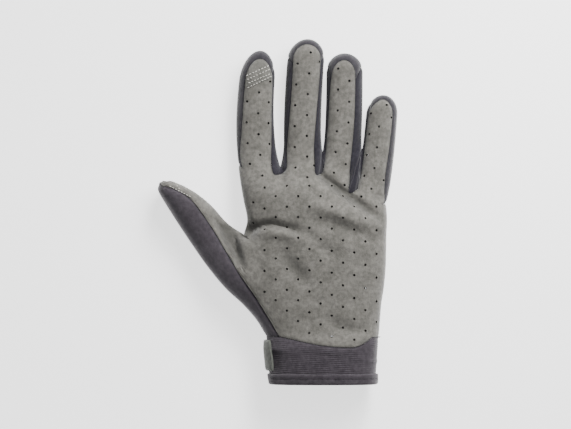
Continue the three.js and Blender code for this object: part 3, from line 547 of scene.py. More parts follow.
class Relief:
    """The heights of the palm side and of the back above the surface that the glove lies on."""

    def __init__(self) -> None:
        """Work out the points along each fold once."""
        self.lines = [self.fold_line(row) for row in FOLDS + CREASES]

    @staticmethod
    def fold_line(row: tuple[float, ...]) -> tuple[np.ndarray, np.ndarray, float]:
        """Return the points along a fold, the depth at each and its width in millimetres.

        Args:
            row: One row of the fold tables.

        Returns:
            The points, the depths and the width.
        """
        t = np.linspace(0, 1, 33)
        weights = [(1 - t) ** 2, 2 * t * (1 - t), t ** 2]
        x = sum(w * hand_x(row[2 * k]) for k, w in enumerate(weights))
        y = sum(w * hand_y(row[2 * k + 1]) for k, w in enumerate(weights))
        taper = np.sin(np.pi * (t + row[8] * (1 - t) / 2)) ** 0.8
        return np.stack([x, y], 1), taper * row[6] * S.palm_thickness, hand_x(row[7])

    def fold_depth(self, x: float, y: float) -> float:
        """Return how deep the folds lie at a point.

        Args:
            x: The place across the hand in millimetres.
            y: The place along the hand in millimetres.

        Returns:
            The depth in millimetres.
        """
        depth = 0.0
        for points, deep, wide in self.lines:
            away = np.hypot(points[:, 0] - x, points[:, 1] - y)
            near = int(away.argmin())
            if away[near] < 3 * wide:
                depth += deep[near] * math.exp(-(away[near] / wide) ** 2)
        return depth

    @staticmethod
    def finger_weight(x: float, y: float) -> float:
        """Return how much a point belongs to the fingers.

        Args:
            x: The place across the hand in millimetres.
            y: The place along the hand in millimetres.

        Returns:
            The weight, 0 on the palm and 1 on a finger.
        """
        u = x / S.palm_width
        i = 0
        while i < len(WEBS) - 2 and u > WEBS[i + 1].palm[0]:
            i += 1
        a, b = WEBS[i].palm, WEBS[i + 1].palm
        web_y = hand_y(lerp(a[1], b[1], clamp((u - a[0]) / (b[0] - a[0]), 0, 1)))
        return smoothstep(y - web_y, -hand_y(0.17), hand_y(0.17))

    @staticmethod
    def thumb_weight(x: float, y: float) -> float:
        """Return how much a point belongs to the thumb."""
        reach, off = Outline.thumb_place(x, y)
        return smoothstep(reach, 0.4, 0.66) * smoothstep(-off, -1.5, -1.15)

    @staticmethod
    def hand_thickness(y: float) -> float:
        """Return the thickness of the hand, which swells a little into the cuff."""
        return lerp(S.palm_thickness, S.cuff_thickness, smoothstep(-y, -hand_y(0.1), S.cuff_length * 0.3))

    def mid_height(self, x: float, y: float) -> float:
        """Return the height of the widest line of the side at a point."""
        hand = S.mid_share * self.hand_thickness(y)
        finger = lerp(hand, S.mid_share * S.finger_thickness, self.finger_weight(x, y))
        return lerp(finger, S.mid_share * S.thumb_thickness, self.thumb_weight(x, y))

    def lift(self, x: float, y: float) -> float:
        """Return how far the empty fingers and thumb curl up off the surface.

        Args:
            x: The place across the hand in millimetres.
            y: The place along the hand in millimetres.

        Returns:
            The lift in millimetres.
        """
        reach, _ = Outline.thumb_place(x, y)
        start = hand_y(0.9)
        finger = clamp((y - start) / (Outline.tip_y(FINGERS[1]) - start), 0, 1.2)
        thumb = clamp((reach - 0.45) / 0.55, 0, 1.2)
        return S.fingertip_lift * finger ** 2 + S.thumb_lift * thumb ** 2 * self.thumb_weight(x, y)

    @staticmethod
    def fingers_height(x: float, y: float, base: float) -> float:
        """Return the height of the fingers at a point.

        Args:
            x: The place across the hand in millimetres.
            y: The place along the hand in millimetres.
            base: The height of the widest line of the side there.

        Returns:
            The height in millimetres.
        """
        height = base
        for finger in FINGERS:
            to_tip = Outline.tip_y(finger) - y
            if to_tip <= 0:
                continue
            cap = round_cap(to_tip / (finger.cap * hand_y(finger.length)))
            q = (x - Outline.axis(finger, y)) / (Outline.half(finger, y) * cap)
            rise = (1 - S.mid_share) * S.finger_thickness * dome(q, S.finger_roundness)
            height = max(height, base + rise * cap)
        return height

    def hand_height(self, x: float, y: float, base: float) -> float:
        """Return the height of the hand at a point.

        Args:
            x: The place across the hand in millimetres.
            y: The place along the hand in millimetres.
            base: The height of the widest line of the side there.

        Returns:
            The height in millimetres.
        """
        along = clamp(y / S.palm_length, HAND_EDGES[0][0], HAND_EDGES[-1][0])
        left, right = Outline.edge(LEFT, along)[0], Outline.edge(RIGHT, along)[0]
        q = (2 * x - left - right) / (right - left)
        return base + (1 - S.mid_share) * self.hand_thickness(y) * dome(q, S.palm_roundness)

    @staticmethod
    def thumb_height(x: float, y: float, base: float) -> float:
        """Return the height of the thumb at a point.

        Args:
            x: The place across the hand in millimetres.
            y: The place along the hand in millimetres.
            base: The height of the widest line of the side there.

        Returns:
            The height in millimetres.
        """
        reach, off = Outline.thumb_place(x, y)
        at = clamp(reach, THUMB_EDGES[0][0], 1)
        lower, upper = read(THUMB_EDGES, LOWER, at), read(THUMB_EDGES, UPPER, at)
        q = (2 * off - lower - upper) / (upper - lower)
        cap = round_cap((THUMB_TIP[0] + 0.01 - reach) / 0.13)
        rise = (1 - S.mid_share) * S.thumb_thickness * lerp(1.15, 1, smoothstep(at, 0.2, 0.7))
        return base + rise * dome(q, S.finger_roundness) * cap * smoothstep(at, 0.05, 0.3)

    def height(self, x: float, y: float, layer: Layer) -> float:
        """Return the height of one layer of the glove at a point.

        Args:
            x: The place across the hand in millimetres.
            y: The place along the hand in millimetres.
            layer: The palm layer or the back layer.

        Returns:
            The height in millimetres.
        """
        if layer is Layer.BACK:
            risen = smoothstep(-y, -hand_y(0.16), -hand_y(0.03))
            return (S.seam_gap + S.strap_thickness) * risen + self.lift(x, y)
        base = self.mid_height(x, y)
        hand = self.hand_height(x, y, base)
        digits = lerp(hand, self.fingers_height(x, y, base), self.finger_weight(x, y))
        thumb = self.thumb_height(x, y, base)
        joined = lerp(smooth_max(digits, thumb, 0.12 * S.palm_thickness), thumb, self.thumb_weight(x, y))
        depth = min(self.fold_depth(x, y), 0.6 * (joined - base))
        return joined - depth + self.lift(x, y)


@dataclass
class Station:
    """One place round the glove's side: its pieces, its widest line and its edge points on each layer."""

    piece: str
    back_piece: str
    mid: Point2
    palm: int
    back: int


@dataclass
class Sheet:
    """The grids of point numbers on one layer."""

    hand: list[list[int]]
    digits: list[list[list[int]]]
    thumb: list[list[int]]
    cuff: list[list[int]]


FOURCHETTES = ("fourchette_index_middle", "fourchette_middle_ring", "fourchette_ring_little")


class Skin:
    """The shared outer skin of the glove, with every face marked with its piece."""

    def __init__(self) -> None:
        """Lay out both sheets and the ribbon between them."""
        self.relief = Relief()
        self.points: list[tuple[float, float, float]] = []
        self.faces: dict[str, list[tuple[int, ...]]] = {}
        self.seam_column = F.palm_rows - F.crotch_row
        self.sheets = {layer: self.lay_sheet(layer) for layer in Layer}
        self.stations = self.lay_stations()
        self.rings = [self.round_side(station) for station in self.stations]
        self.lay_ribbon()
        self.co = np.array(self.points)
        self.normals = self.vertex_normals()

    def add(self, x: float, y: float, z: float) -> int:
        """Add a point and return its number."""
        self.points.append((x, y, z))
        return len(self.points) - 1

    def place(self, point: Point2, layer: Layer) -> int:
        """Add the point of a layer above or below a place and return its number."""
        return self.add(point[0], point[1], self.relief.height(point[0], point[1], layer))

    def add_quad(self, piece: str, ring: list[int]) -> None:
        """Add a face to a piece, leaving out corners that fall together."""
        corners = [c for i, c in enumerate(ring) if ring.index(c) == i]
        if len(corners) > 2:
            self.faces.setdefault(piece, []).append(tuple(corners))

    def add_grid(self, grid: list[list[int]], layer: Layer, piece_at: Callable) -> None:
        """Add the faces of a grid, looking up on the palm side and down on the back.

        Args:
            grid: The rows of point numbers.
            layer: The layer that the grid lies on.
            piece_at: Gives the piece that a cell of the grid belongs to.
        """
        for r in range(len(grid) - 1):
            for c in range(len(grid[r]) - 1):
                ring = [grid[r][c], grid[r + 1][c], grid[r + 1][c + 1], grid[r][c + 1]]
                if layer is Layer.BACK:
                    ring.reverse()
                self.add_quad(piece_at(c), ring)

    def hand_point(self, layer: Layer, u: float, v: float) -> Point2:
        """Return a point of the smooth patch over the hand.

        Args:
            layer: the side of the glove.
            u: the share across the hand, from the thumb side.
            v: the share down the hand, from the webs.

        Returns:
            The place of the point.
        """
        top, bottom, left, right = (edge(layer, t) for edge, t in (
            (self.top_edge, u), (self.bottom_edge, u), (self.inner_left, v), (self.inner_right, v)))
        corners = ((self.top_edge(layer, 0), self.top_edge(layer, 1)),
                   (self.bottom_edge(layer, 0), self.bottom_edge(layer, 1)))
        out = []
        for k in (0, 1):
            sides = (1 - u) * left[k] + u * right[k] + (1 - v) * top[k] + v * bottom[k]
            bent = ((1 - u) * (1 - v) * corners[0][0][k] + u * (1 - v) * corners[0][1][k]
                    + (1 - u) * v * corners[1][0][k] + u * v * corners[1][1][k])
            out.append(sides - bent)
        return out[0], out[1]

    @staticmethod
    def web_point(layer: Layer, i: int) -> Point2:
        """Return the seam of a web on one layer."""
        web = WEBS[i].palm if layer is Layer.PALM else WEBS[i].back
        return hand_x(web[0]), hand_y(web[1])

    def top_edge(self, layer: Layer, u: float) -> Point2:
        """Return the line through the webs.

        Args:
            layer: The palm layer or the back layer.
            u: The share across the sheet.

        Returns:
            The point in millimetres.
        """
        i = min(int(u * len(FINGERS)), len(FINGERS) - 1)
        t = u * len(FINGERS) - i
        a, b = self.web_point(layer, i), self.web_point(layer, i + 1)
        return lerp(a[0], b[0], t), lerp(a[1], b[1], t)

    def inner_left(self, layer: Layer, v: float) -> Point2:
        """Return the seam beside the index finger and then the line into the thumb.

        Args:
            layer: The palm layer or the back layer.
            v: The share along the sheet.

        Returns:
            The point in millimetres.
        """
        inset = hand_x(EDGE_INSET[layer])
        inside = Outline.thumb_point(*CROTCH_INSIDE)
        split = F.crotch_row / F.palm_rows
        if v >= split:
            t = (v - split) / (1 - split)
            return lerp(inside[0], Outline.cuff_seam_x(), t), lerp(inside[1], hand_y(CORNER), t)
        share = v / split
        edge, first, last = Outline.left_edge(share), Outline.left_edge(0), Outline.left_edge(1)
        web = self.web_point(layer, 0)
        start_shift = (web[0] - first[0] - inset, web[1] - first[1])
        end_shift = (inside[0] - last[0] - inset, inside[1] - last[1])
        a, b = settle(share, 0.5), settle(1 - share, 0.6)
        return (edge[0] + inset + start_shift[0] * a + end_shift[0] * b,
                edge[1] + start_shift[1] * a + end_shift[1] * b)

    def inner_right(self, layer: Layer, v: float) -> Point2:
        """Return the seam along the outside of the hand.

        Args:
            layer: The palm layer or the back layer.
            v: The share along the sheet.

        Returns:
            The point in millimetres.
        """
        inset = hand_x(EDGE_INSET[layer])
        edge, start, web = Outline.right_edge(v), Outline.right_edge(0), self.web_point(layer, 4)
        weight = settle(v, 0.3)
        return (edge[0] - inset + (web[0] - start[0] + inset) * weight,
                edge[1] + (web[1] - start[1]) * weight)

    def bottom_edge(self, layer: Layer, u: float) -> Point2:
        """Return the seam at the cuff.

        Args:
            layer: The palm layer or the back layer.
            u: The share across the sheet.

        Returns:
            The point in millimetres.
        """
        end = self.inner_right(layer, 1)
        drop = 0.0
        if layer is Layer.PALM:
            drop = Outline.seam_drop(lerp(CUFF_SEAM_SHARE, 1, u)) - Outline.seam_drop(1) * u
        return lerp(Outline.cuff_seam_x(), end[0], u), lerp(hand_y(CORNER), end[1], u) - drop

    def lay_sheet(self, layer: Layer) -> Sheet:
        """Lay out one side of the glove and return its grids.

        Args:
            layer: The palm layer or the back layer.

        Returns:
            The sheet's rows and edges.
        """
        columns = len(FINGERS) * F.finger_columns
        hand = [[self.place(self.hand_point(layer, c / columns, r / F.palm_rows), layer)
                 for c in range(columns + 1)] for r in range(F.palm_rows + 1)]
        digits = [self.lay_finger(i, layer, hand[0]) for i in range(len(FINGERS))]
        thumb = self.lay_thumb(layer, hand)
        cuff = self.lay_cuff(layer, hand, thumb)
        body = "palm_panel" if layer is Layer.PALM else "back_panel"
        self.add_grid(hand, layer, lambda c: body)
        for digit in digits:
            self.add_grid(digit[::-1], layer, lambda c: body)
        inner = "palm_panel" if layer is Layer.PALM else "thumb_panel"
        self.add_grid(thumb, layer, lambda c: inner if c < self.seam_column else "thumb_panel")
        self.add_grid(cuff, layer, lambda c: "cuff")
        return Sheet(hand, digits, thumb, cuff)

    def lay_finger(self, index: int, layer: Layer, first: list[int]) -> list[list[int]]:
        """Lay out one finger above the first row of the hand.

        Args:
            index: The number of the finger.
            layer: The palm layer or the back layer.
            first: The row of points that the finger starts from.

        Returns:
            The rows of point numbers.
        """
        finger = FINGERS[index]
        start = index * F.finger_columns
        rows = [first[start:start + F.finger_columns + 1]]
        for j in range(1, F.finger_rows):
            s = both_ends(j / F.finger_rows)
            left = Outline.finger_seam(finger, -1, WEBS[index], s, layer)
            right = Outline.finger_seam(finger, 1, WEBS[index + 1], s, layer)
            rows.append([self.place((lerp(left[0], right[0], t), lerp(left[1], right[1], t)), layer)
                         for t in np.linspace(0, 1, F.finger_columns + 1)])
        tip = self.place(Outline.finger_seam(finger, 1, WEBS[index + 1], 1, layer), layer)
        rows.append([tip] * (F.finger_columns + 1))
        return rows

    def lay_thumb(self, layer: Layer, hand: list[list[int]]) -> list[list[int]]:
        """Lay out the thumb beside the left column of the hand.

        Args:
            layer: The palm layer or the back layer.
            hand: The points of the hand's sheet.

        Returns:
            The rows of point numbers.
        """
        inset = THUMB_INSET[layer]
        rows = []
        for j in range(F.thumb_rows):
            s = ease_out(j / F.thumb_rows, 1.25)
            upper = Outline.thumb_upper(s, inset)
            seam = Outline.thumb_seam(s, layer)
            lower = Outline.thumb_lower(s, inset)
            row = []
            for c in range(self.seam_column + F.thumb_columns + 1):
                if j == 0 and c <= self.seam_column:
                    row.append(hand[F.crotch_row + c][0])
                    continue
                inner = c <= self.seam_column
                t = c / self.seam_column if inner else (c - self.seam_column) / F.thumb_columns
                a, b = (upper, seam) if inner else (seam, lower)
                row.append(self.place((lerp(a[0], b[0], t), lerp(a[1], b[1], t)), layer))
            rows.append(row)
        tip = self.place(Outline.thumb_point(*THUMB_SEAM_TIP), layer)
        rows.append([tip] * (self.seam_column + F.thumb_columns + 1))
        return rows

    @staticmethod
    def cuff_row(q: int) -> tuple[float, float]:
        """Return the height of a row of the cuff below its corner, and how much of the seam's curve it keeps.

        Args:
            q: The number of the row down the cuff.

        Returns:
            The height and the share of the row.
        """
        end = hand_y(CORNER) - S.cuff_length
        rows = F.cuff_rows
        if q > rows:
            return lerp(end + S.hem_width, end, (q - rows) / F.hem_rows), 0.0
        return lerp(0, end + S.hem_width, q / rows), 1 - q / rows

    def lay_cuff(self, layer: Layer, hand: list[list[int]], thumb: list[list[int]]) -> list[list[int]]:
        """Lay out the cuff below the hand and the thumb.

        Args:
            layer: The palm layer or the back layer.
            hand: The points of the hand's sheet.
            thumb: The points of the thumb's sheet.

        Returns:
            The rows of point numbers.
        """
        first = thumb[0][self.seam_column + 1:][::-1] + hand[F.palm_rows]
        rows = [first]
        start = self.points[first[0]][0]
        width = self.points[first[-1]][0] - start
        for q in range(1, F.cuff_rows + F.hem_rows + 1):
            left = self.cuff_edge(LEFT, q)[0] + THUMB_INSET[layer] * S.thumb_width
            right = self.cuff_edge(RIGHT, q)[0] - hand_x(EDGE_INSET[layer])
            base, curve = self.cuff_row(q)
            rows.append([self.place((lerp(left, right, (self.points[i][0] - start) / width),
                                     base + self.points[i][1] * curve), layer) for i in first])
        return rows

    def cuff_edge(self, side: int, q: int) -> Point2:
        """Return the widest line of the cuff at one row."""
        base, curve = self.cuff_row(q)
        y = base + hand_y(CORNER) * curve
        return Outline.edge(side, y / S.palm_length)[0], y

    def lay_stations(self) -> list[Station]:
        """Return the stations from the thumb side of the cuff round every digit to its far side.

        Returns:
            The stations in order round the side.
        """
        out: list[Station] = []
        palm, back = self.sheets[Layer.PALM], self.sheets[Layer.BACK]

        def add(piece: str, mid: Point2, pick: Callable, back_piece: str = "") -> None:
            """Add the stations of one stretch."""
            out.append(Station(piece, back_piece or piece, mid, pick(palm), pick(back)))

        last = F.cuff_rows + F.hem_rows
        for q in range(last, 0, -1):
            add("cuff", self.cuff_edge(LEFT, q), lambda s, q=q: s.cuff[q][0])
        for j in range(F.thumb_rows):
            mid = Outline.thumb_lower(ease_out(j / F.thumb_rows, 1.25), 0)
            add("thumb_panel", mid, lambda s, j=j: s.thumb[j][-1])
        tip = Outline.thumb_point(*THUMB_TIP)
        add("palm_panel", tip, lambda s: s.thumb[F.thumb_rows][0], "thumb_panel")
        for j in range(F.thumb_rows - 1, 0, -1):
            mid = Outline.thumb_upper(ease_out(j / F.thumb_rows, 1.25), 0)
            add("palm_panel", mid, lambda s, j=j: s.thumb[j][0], "thumb_panel")
        for r in range(F.crotch_row, 0, -1):
            add("palm_panel", Outline.left_edge(r / F.crotch_row), lambda s, r=r: s.hand[r][0])
        tip_row = round(F.finger_rows * (1 - F.tip_share))
        for i, finger in enumerate(FINGERS):
            def strip(side: int, j: int, i: int = i) -> str:
                between = i - 1 if side < 0 else i
                inside = 0 <= between < len(FOURCHETTES)
                return FOURCHETTES[between] if inside and j < tip_row else "back_panel"

            for j in range(F.finger_rows):
                mid = Outline.finger_side(finger, -1, WEBS[i], both_ends(j / F.finger_rows))
                add(strip(-1, j), mid, lambda s, i=i, j=j: s.digits[i][j][0])
            tip_y = Outline.tip_y(finger)
            add("back_panel", (Outline.axis(finger, tip_y), tip_y),
                lambda s, i=i: s.digits[i][F.finger_rows][0])
            for j in range(F.finger_rows - 1, 0, -1):
                mid = Outline.finger_side(finger, 1, WEBS[i + 1], both_ends(j / F.finger_rows))
                add(strip(1, j - 1), mid, lambda s, i=i, j=j: s.digits[i][j][-1])
        for r in range(F.palm_rows):
            add("palm_panel", Outline.right_edge(r / F.palm_rows), lambda s, r=r: s.hand[r][-1])
        for q in range(last + 1):
            mid = Outline.right_edge(1) if q == 0 else self.cuff_edge(RIGHT, q)
            add("cuff", mid, lambda s, q=q: s.cuff[q][-1])
        return out

    def round_side(self, station: Station) -> list[int]:
        """Return the points round the side at one station, from the palm seam to the back seam.

        Args:
            station: The place round the side.

        Returns:
            The numbers of the new points.
        """
        x, y = station.mid
        z = self.relief.mid_height(x, y) + self.relief.lift(x, y)
        middle = self.add(x, y, z)

        def curve(edge: int, top: float) -> list[int]:
            """Return a point of the side section."""
            ex, ey, ez = self.points[edge]
            ring = []
            for i in range(1, F.side_steps):
                angle = i / F.side_steps * top
                flat = (1 - math.cos(angle)) / (1 - math.cos(top))
                ring.append(self.add(lerp(x, ex, flat), lerp(y, ey, flat),
                                     lerp(z, ez, math.sin(angle) / math.sin(top))))
            return ring

        up = curve(station.palm, math.pi / 3)[::-1]
        down = curve(station.back, math.pi / 2)
        return [station.palm, *up, middle, *down, station.back]

    def lay_ribbon(self) -> None:
        """Add the faces of the side ribbon."""
        for station, a, b in zip(self.stations, self.rings, self.rings[1:]):
            for k in range(len(a) - 1):
                piece = station.piece if k < F.side_steps else station.back_piece
                self.add_quad(piece, [a[k], b[k], b[k + 1], a[k + 1]])

    def vertex_normals(self) -> np.ndarray:
        """Return one outward normal for each point, shared by the pieces that meet there.

        Returns:
            One outward unit vector for each point.
        """
        normals = np.zeros_like(self.co)
        for faces in self.faces.values():
            for ring in faces:
                for i in range(1, len(ring) - 1):
                    a, b, c = (self.co[ring[k]] for k in (0, i, i + 1))
                    across = np.cross(b - a, c - a)
                    for k in (ring[0], ring[i], ring[i + 1]):
                        normals[k] += across
        return normals / np.maximum(np.linalg.norm(normals, axis=1, keepdims=True), 1e-9)


def new_object(name: str, mesh: bpy.types.Mesh) -> bpy.types.Object:
    """Link a new object that holds a mesh."""
    obj = bpy.data.objects.new(name, mesh)
    bpy.context.scene.collection.objects.link(obj)
    return obj


def to_frame(points: np.ndarray) -> np.ndarray:
    """Return hand-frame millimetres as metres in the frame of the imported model."""
    return (points + HAND_ORIGIN) * MILLIMETRE


def mesh_of(name: str, points: np.ndarray, faces: list[tuple[int, ...]], smooth: bool = True) -> bpy.types.Mesh:
    """Build a mesh from hand-frame points and faces.

    Args:
        name: the mesh's name.
        points: the corners in millimetres.
        faces: the corner numbers of each face.
        smooth: whether the faces are shaded smooth.

    Returns:
        The mesh, in metres.
    """
    mesh = bpy.data.meshes.new(name)
    mesh.from_pydata(to_frame(points).tolist(), [], faces)
    mesh.polygons.foreach_set("use_smooth", [smooth] * len(faces))
    mesh.update()
    return mesh


def settle_piece(obj: bpy.types.Object, slot: str, *nodes: str) -> None:
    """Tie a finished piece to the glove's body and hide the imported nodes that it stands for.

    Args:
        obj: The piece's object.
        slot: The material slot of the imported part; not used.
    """
    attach(obj, BODY)
    if nodes:
        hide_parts(*nodes)
    LOG.info("%s: %d faces", obj.name, len(obj.data.polygons))


class Nodes:
    """A short way to write a material's node tree."""

    def __init__(self, name: str) -> None:
        """Start a material with a bare Principled shader.

        Args:
            name: The name to give.
        """
        self.material = bpy.data.materials.new(name)
        self.material.use_nodes = True
        self.tree = self.material.node_tree
        self.tree.nodes.clear()
        self.shader = self.add("ShaderNodeBsdfPrincipled")
        output = self.add("ShaderNodeOutputMaterial")
        self.link(self.shader.outputs["BSDF"], output.inputs["Surface"])
        self.place = self.add("ShaderNodeTexCoord").outputs["Object"]

    def add(self, kind: str) -> bpy.types.Node:
        """Add a node of one kind."""
        return self.tree.nodes.new(kind)

    def link(self, a: bpy.types.NodeSocket, b: bpy.types.NodeSocket) -> None:
        """Link an output to an input."""
        self.tree.links.new(a, b)

    def noise(self, size_mm: float, detail: float = 2.0, stretch: tuple[float, float, float] = (1, 1, 1)) -> Socket:
        """Return the value of a noise whose grains are about size_mm wide.

        Args:
            size_mm: The size of the noise in millimetres.
            detail: How many finer layers the noise has.
            stretch: The stretch along each axis.

        Returns:
            The noise's output.
        """
        mapping = self.add("ShaderNodeMapping")
        mapping.inputs["Scale"].default_value = stretch
        noise = self.add("ShaderNodeTexNoise")
        noise.inputs["Scale"].default_value = 1 / (size_mm * MILLIMETRE)
        noise.inputs["Detail"].default_value = detail
        self.link(self.place, mapping.inputs["Vector"])
        self.link(mapping.outputs["Vector"], noise.inputs["Vector"])
        return noise.outputs["Fac"]

    def wave(self, pitch_mm: float, direction: str, slant: float = 0.0) -> Socket:
        """Return a wave with one crest each pitch_mm along one axis, turned by slant.

        Args:
            pitch_mm: The pitch in millimetres.
            direction: The axis that the wave runs along.
            slant: How far the wave leans.

        Returns:
            The wave's output.
        """
        mapping = self.add("ShaderNodeMapping")
        mapping.inputs["Rotation"].default_value = (0, 0, slant)
        wave = self.add("ShaderNodeTexWave")
        wave.bands_direction = direction
        wave.inputs["Scale"].default_value = math.pi / (10 * pitch_mm * MILLIMETRE)
        wave.inputs["Distortion"].default_value = 0.6
        wave.inputs["Detail Scale"].default_value = 2.0
        self.link(self.place, mapping.inputs["Vector"])
        self.link(mapping.outputs["Vector"], wave.inputs["Vector"])
        return wave.outputs["Fac"]

    def attribute(self, name: str) -> Socket:
        """Return the value of a point attribute."""
        node = self.add("ShaderNodeAttribute")
        node.attribute_name = name
        return node.outputs["Fac"]

    def spread(self, value: Socket, low: float, high: float, to_low: float, to_high: float) -> Socket:
        """Return a value carried from one range to another, kept inside it.

        Args:
            value: The value to carry over.
            low: The start of the first range.
            high: The end of the first range.
            to_low: The start of the second range.
            to_high: The end of the second range.

        Returns:
            The carried value.
        """
        node = self.add("ShaderNodeMapRange")
        for key, number in zip(("From Min", "From Max", "To Min", "To Max"), (low, high, to_low, to_high)):
            node.inputs[key].default_value = number
        self.link(value, node.inputs["Value"])
        return node.outputs["Result"]

    def mix(self, share: Feed, a: Feed, b: Feed) -> Socket:
        """Return colour a mixed towards colour b by a share.

        Args:
            share: How much of the second colour is mixed in.
            a: The first colour.
            b: The second colour.

        Returns:
            The mixed colour.
        """
        node = self.add("ShaderNodeMix")
        node.data_type = "RGBA"
        self.link(share, node.inputs[0])
        for socket, colour in ((node.inputs[6], a), (node.inputs[7], b)):
            if isinstance(colour, tuple):
                socket.default_value = (*colour, 1)
            else:
                self.link(colour, socket)
        return node.outputs[2]

    def bump(self, layers: list[tuple[bpy.types.NodeSocket, float]]) -> None:
        """Add bumps, each a height and its depth in millimetres, to the shader's normal.

        Args:
            layers: Each bump's height and its depth in millimetres.
        """
        normal = None
        for height, depth in layers:
            node = self.add("ShaderNodeBump")
            node.inputs["Strength"].default_value = 1.0
            node.inputs["Distance"].default_value = depth * MILLIMETRE
            self.link(height, node.inputs["Height"])
            if normal:
                self.link(normal, node.inputs["Normal"])
            normal = node.outputs["Normal"]
        self.link(normal, self.shader.inputs["Normal"])


class Weave(Enum):
    """The ways a cloth's surface is made."""

    SUEDE = "suede"
    KNIT = "knit"
    SMOOTH = "smooth"
    THREAD = "thread"


Colour = tuple[float, float, float]


@dataclass(frozen=True)
class Finish:
    """One finish: its colours, its grain and how it wears, with painted shade along seams and in folds."""

    name: str
    main: Colour
    dark: Colour
    light: Colour
    weave: Weave
    grain_mm: float
    grain_depth: float
    sheen: float = 0.3
    roughness: tuple[float, float] = (0.8, 0.98)

    def build(self) -> bpy.types.Material:
        """Return the material of this finish.

        Returns:
            The finished material.
        """
        nodes = Nodes(self.name)
        mottle = nodes.spread(nodes.noise(9.0, 3.0), 0.35, 0.65, 0.0, 1.0)
        blotch = nodes.spread(nodes.noise(2.4, 4.0), 0.3, 0.7, 0.0, 1.0)
        fibre = nodes.spread(nodes.noise(self.grain_mm, 5.0), 0.3, 0.7, 0.0, 1.0)
        colour = nodes.mix(nodes.spread(mottle, 0, 1, 0.0, 0.6), self.main, self.light)
        colour = nodes.mix(nodes.spread(blotch, 0, 1, 0.0, 0.55), colour, self.dark)
        streak = nodes.noise(0.9, 3.0, (1.0, 0.22, 1.0))
        colour = nodes.mix(nodes.spread(streak, 0.35, 0.65, 0.0, 0.16), colour, self.dark)
        colour = nodes.mix(nodes.spread(fibre, 0, 1, 0.0, 0.28), colour, self.dark)
        if self.weave is not Weave.THREAD:
            # Painted shade: the colour darkens towards the dark tone along seams and edges, where they roll in or
            # lie against another part.
            seam = nodes.attribute("painted_shade")
            colour = nodes.mix(nodes.spread(seam, 0.1, 1.0, 0.0, 0.6), colour, self.dark)
            # Painted shade: the colour darkens in the palm's folds, by how deep they lie.
            fold_shade = nodes.attribute("fold_shade")
            colour = nodes.mix(nodes.spread(fold_shade, 0.1, 1.0, 0.0, 0.65), colour, self.dark)
        nodes.link(colour, nodes.shader.inputs["Base Color"])
        rough = nodes.spread(blotch, 0, 1, *self.roughness)
        nodes.link(rough, nodes.shader.inputs["Roughness"])
        nodes.shader.inputs["Sheen Weight"].default_value = self.sheen
        nodes.shader.inputs["Sheen Roughness"].default_value = 0.5
        nodes.shader.inputs["Specular IOR Level"].default_value = 0.25
        nodes.bump(self.relief(nodes, fibre, blotch))
        return nodes.material

    def relief(self, nodes: Nodes, fibre: Socket, blotch: Socket) -> list:
        """Return the bump layers of this finish's weave.

        Args:
            nodes: The material's nodes.
            fibre: The fine grain.
            blotch: The soft blotches.

        Returns:
            Each bump's height and depth.
        """
        layers = [(fibre, self.grain_depth), (blotch, self.grain_depth * 1.5)]
        if self.weave is Weave.KNIT:
            layers += [(nodes.wave(0.85, "X"), 0.07), (nodes.wave(0.6, "Y"), 0.05)]
        if self.weave is Weave.THREAD:
            layers += [(nodes.wave(0.3, "DIAGONAL"), 0.05)]
        return layers


SUEDE = Finish("perforated_suede", (0.158, 0.15, 0.132), (0.048, 0.047, 0.042), (0.265, 0.252, 0.226),
               Weave.SUEDE, 0.45, 0.06, 0.35)
PATCH = Finish("patch_suede", (0.15, 0.146, 0.13), (0.055, 0.054, 0.048), (0.25, 0.242, 0.22),
               Weave.SUEDE, 0.45, 0.05, 0.35)
STRETCH = Finish("stretch_knit", (0.03, 0.027, 0.033), (0.012, 0.011, 0.014), (0.05, 0.046, 0.055),
                 Weave.KNIT, 0.5, 0.04, 0.4)
# The fourchettes' knit is darker than the back's knit: partly its own tone, partly painted shade in the gaps
# between the fingers.
SHADED_GUSSET = Finish("shaded_gusset_knit", (0.017, 0.015, 0.022), (0.007, 0.006, 0.01), (0.03, 0.027, 0.037),
                Weave.KNIT, 0.5, 0.04, 0.25)
THUMB = Finish("thumb_fabric", (0.056, 0.046, 0.056), (0.024, 0.02, 0.025), (0.085, 0.073, 0.086),
               Weave.SMOOTH, 0.4, 0.035, 0.4)
RIB = Finish("ribbed_fabric", (0.05, 0.041, 0.05), (0.017, 0.014, 0.018), (0.075, 0.063, 0.075),
             Weave.SMOOTH, 0.4, 0.035, 0.3)
BINDING = Finish("hem_binding", (0.045, 0.037, 0.045), (0.015, 0.012, 0.016), (0.07, 0.058, 0.07),
                 Weave.SMOOTH, 0.4, 0.04, 0.3)
STRAP = Finish("strap_suede", (0.1, 0.106, 0.09), (0.03, 0.033, 0.028), (0.17, 0.18, 0.155),
               Weave.SUEDE, 0.5, 0.05, 0.3)
# Near-black suede for the walls of the punched holes: painted shade that makes the holes read dark.
HOLE_SHADE = Finish("hole_wall_shade", (0.02, 0.019, 0.017), (0.01, 0.0095, 0.0085), (0.03, 0.029, 0.026),
                   Weave.SUEDE, 0.45, 0.06, 0.0)
WHITE_THREAD = Finish("white_thread", (0.62, 0.6, 0.55), (0.4, 0.385, 0.35), (0.75, 0.73, 0.69),
                      Weave.THREAD, 0.3, 0.02, 0.2)
DARK_THREAD = Finish("dark_thread", (0.018, 0.016, 0.02), (0.008, 0.007, 0.009), (0.04, 0.037, 0.042),
                     Weave.THREAD, 0.3, 0.02, 0.2)


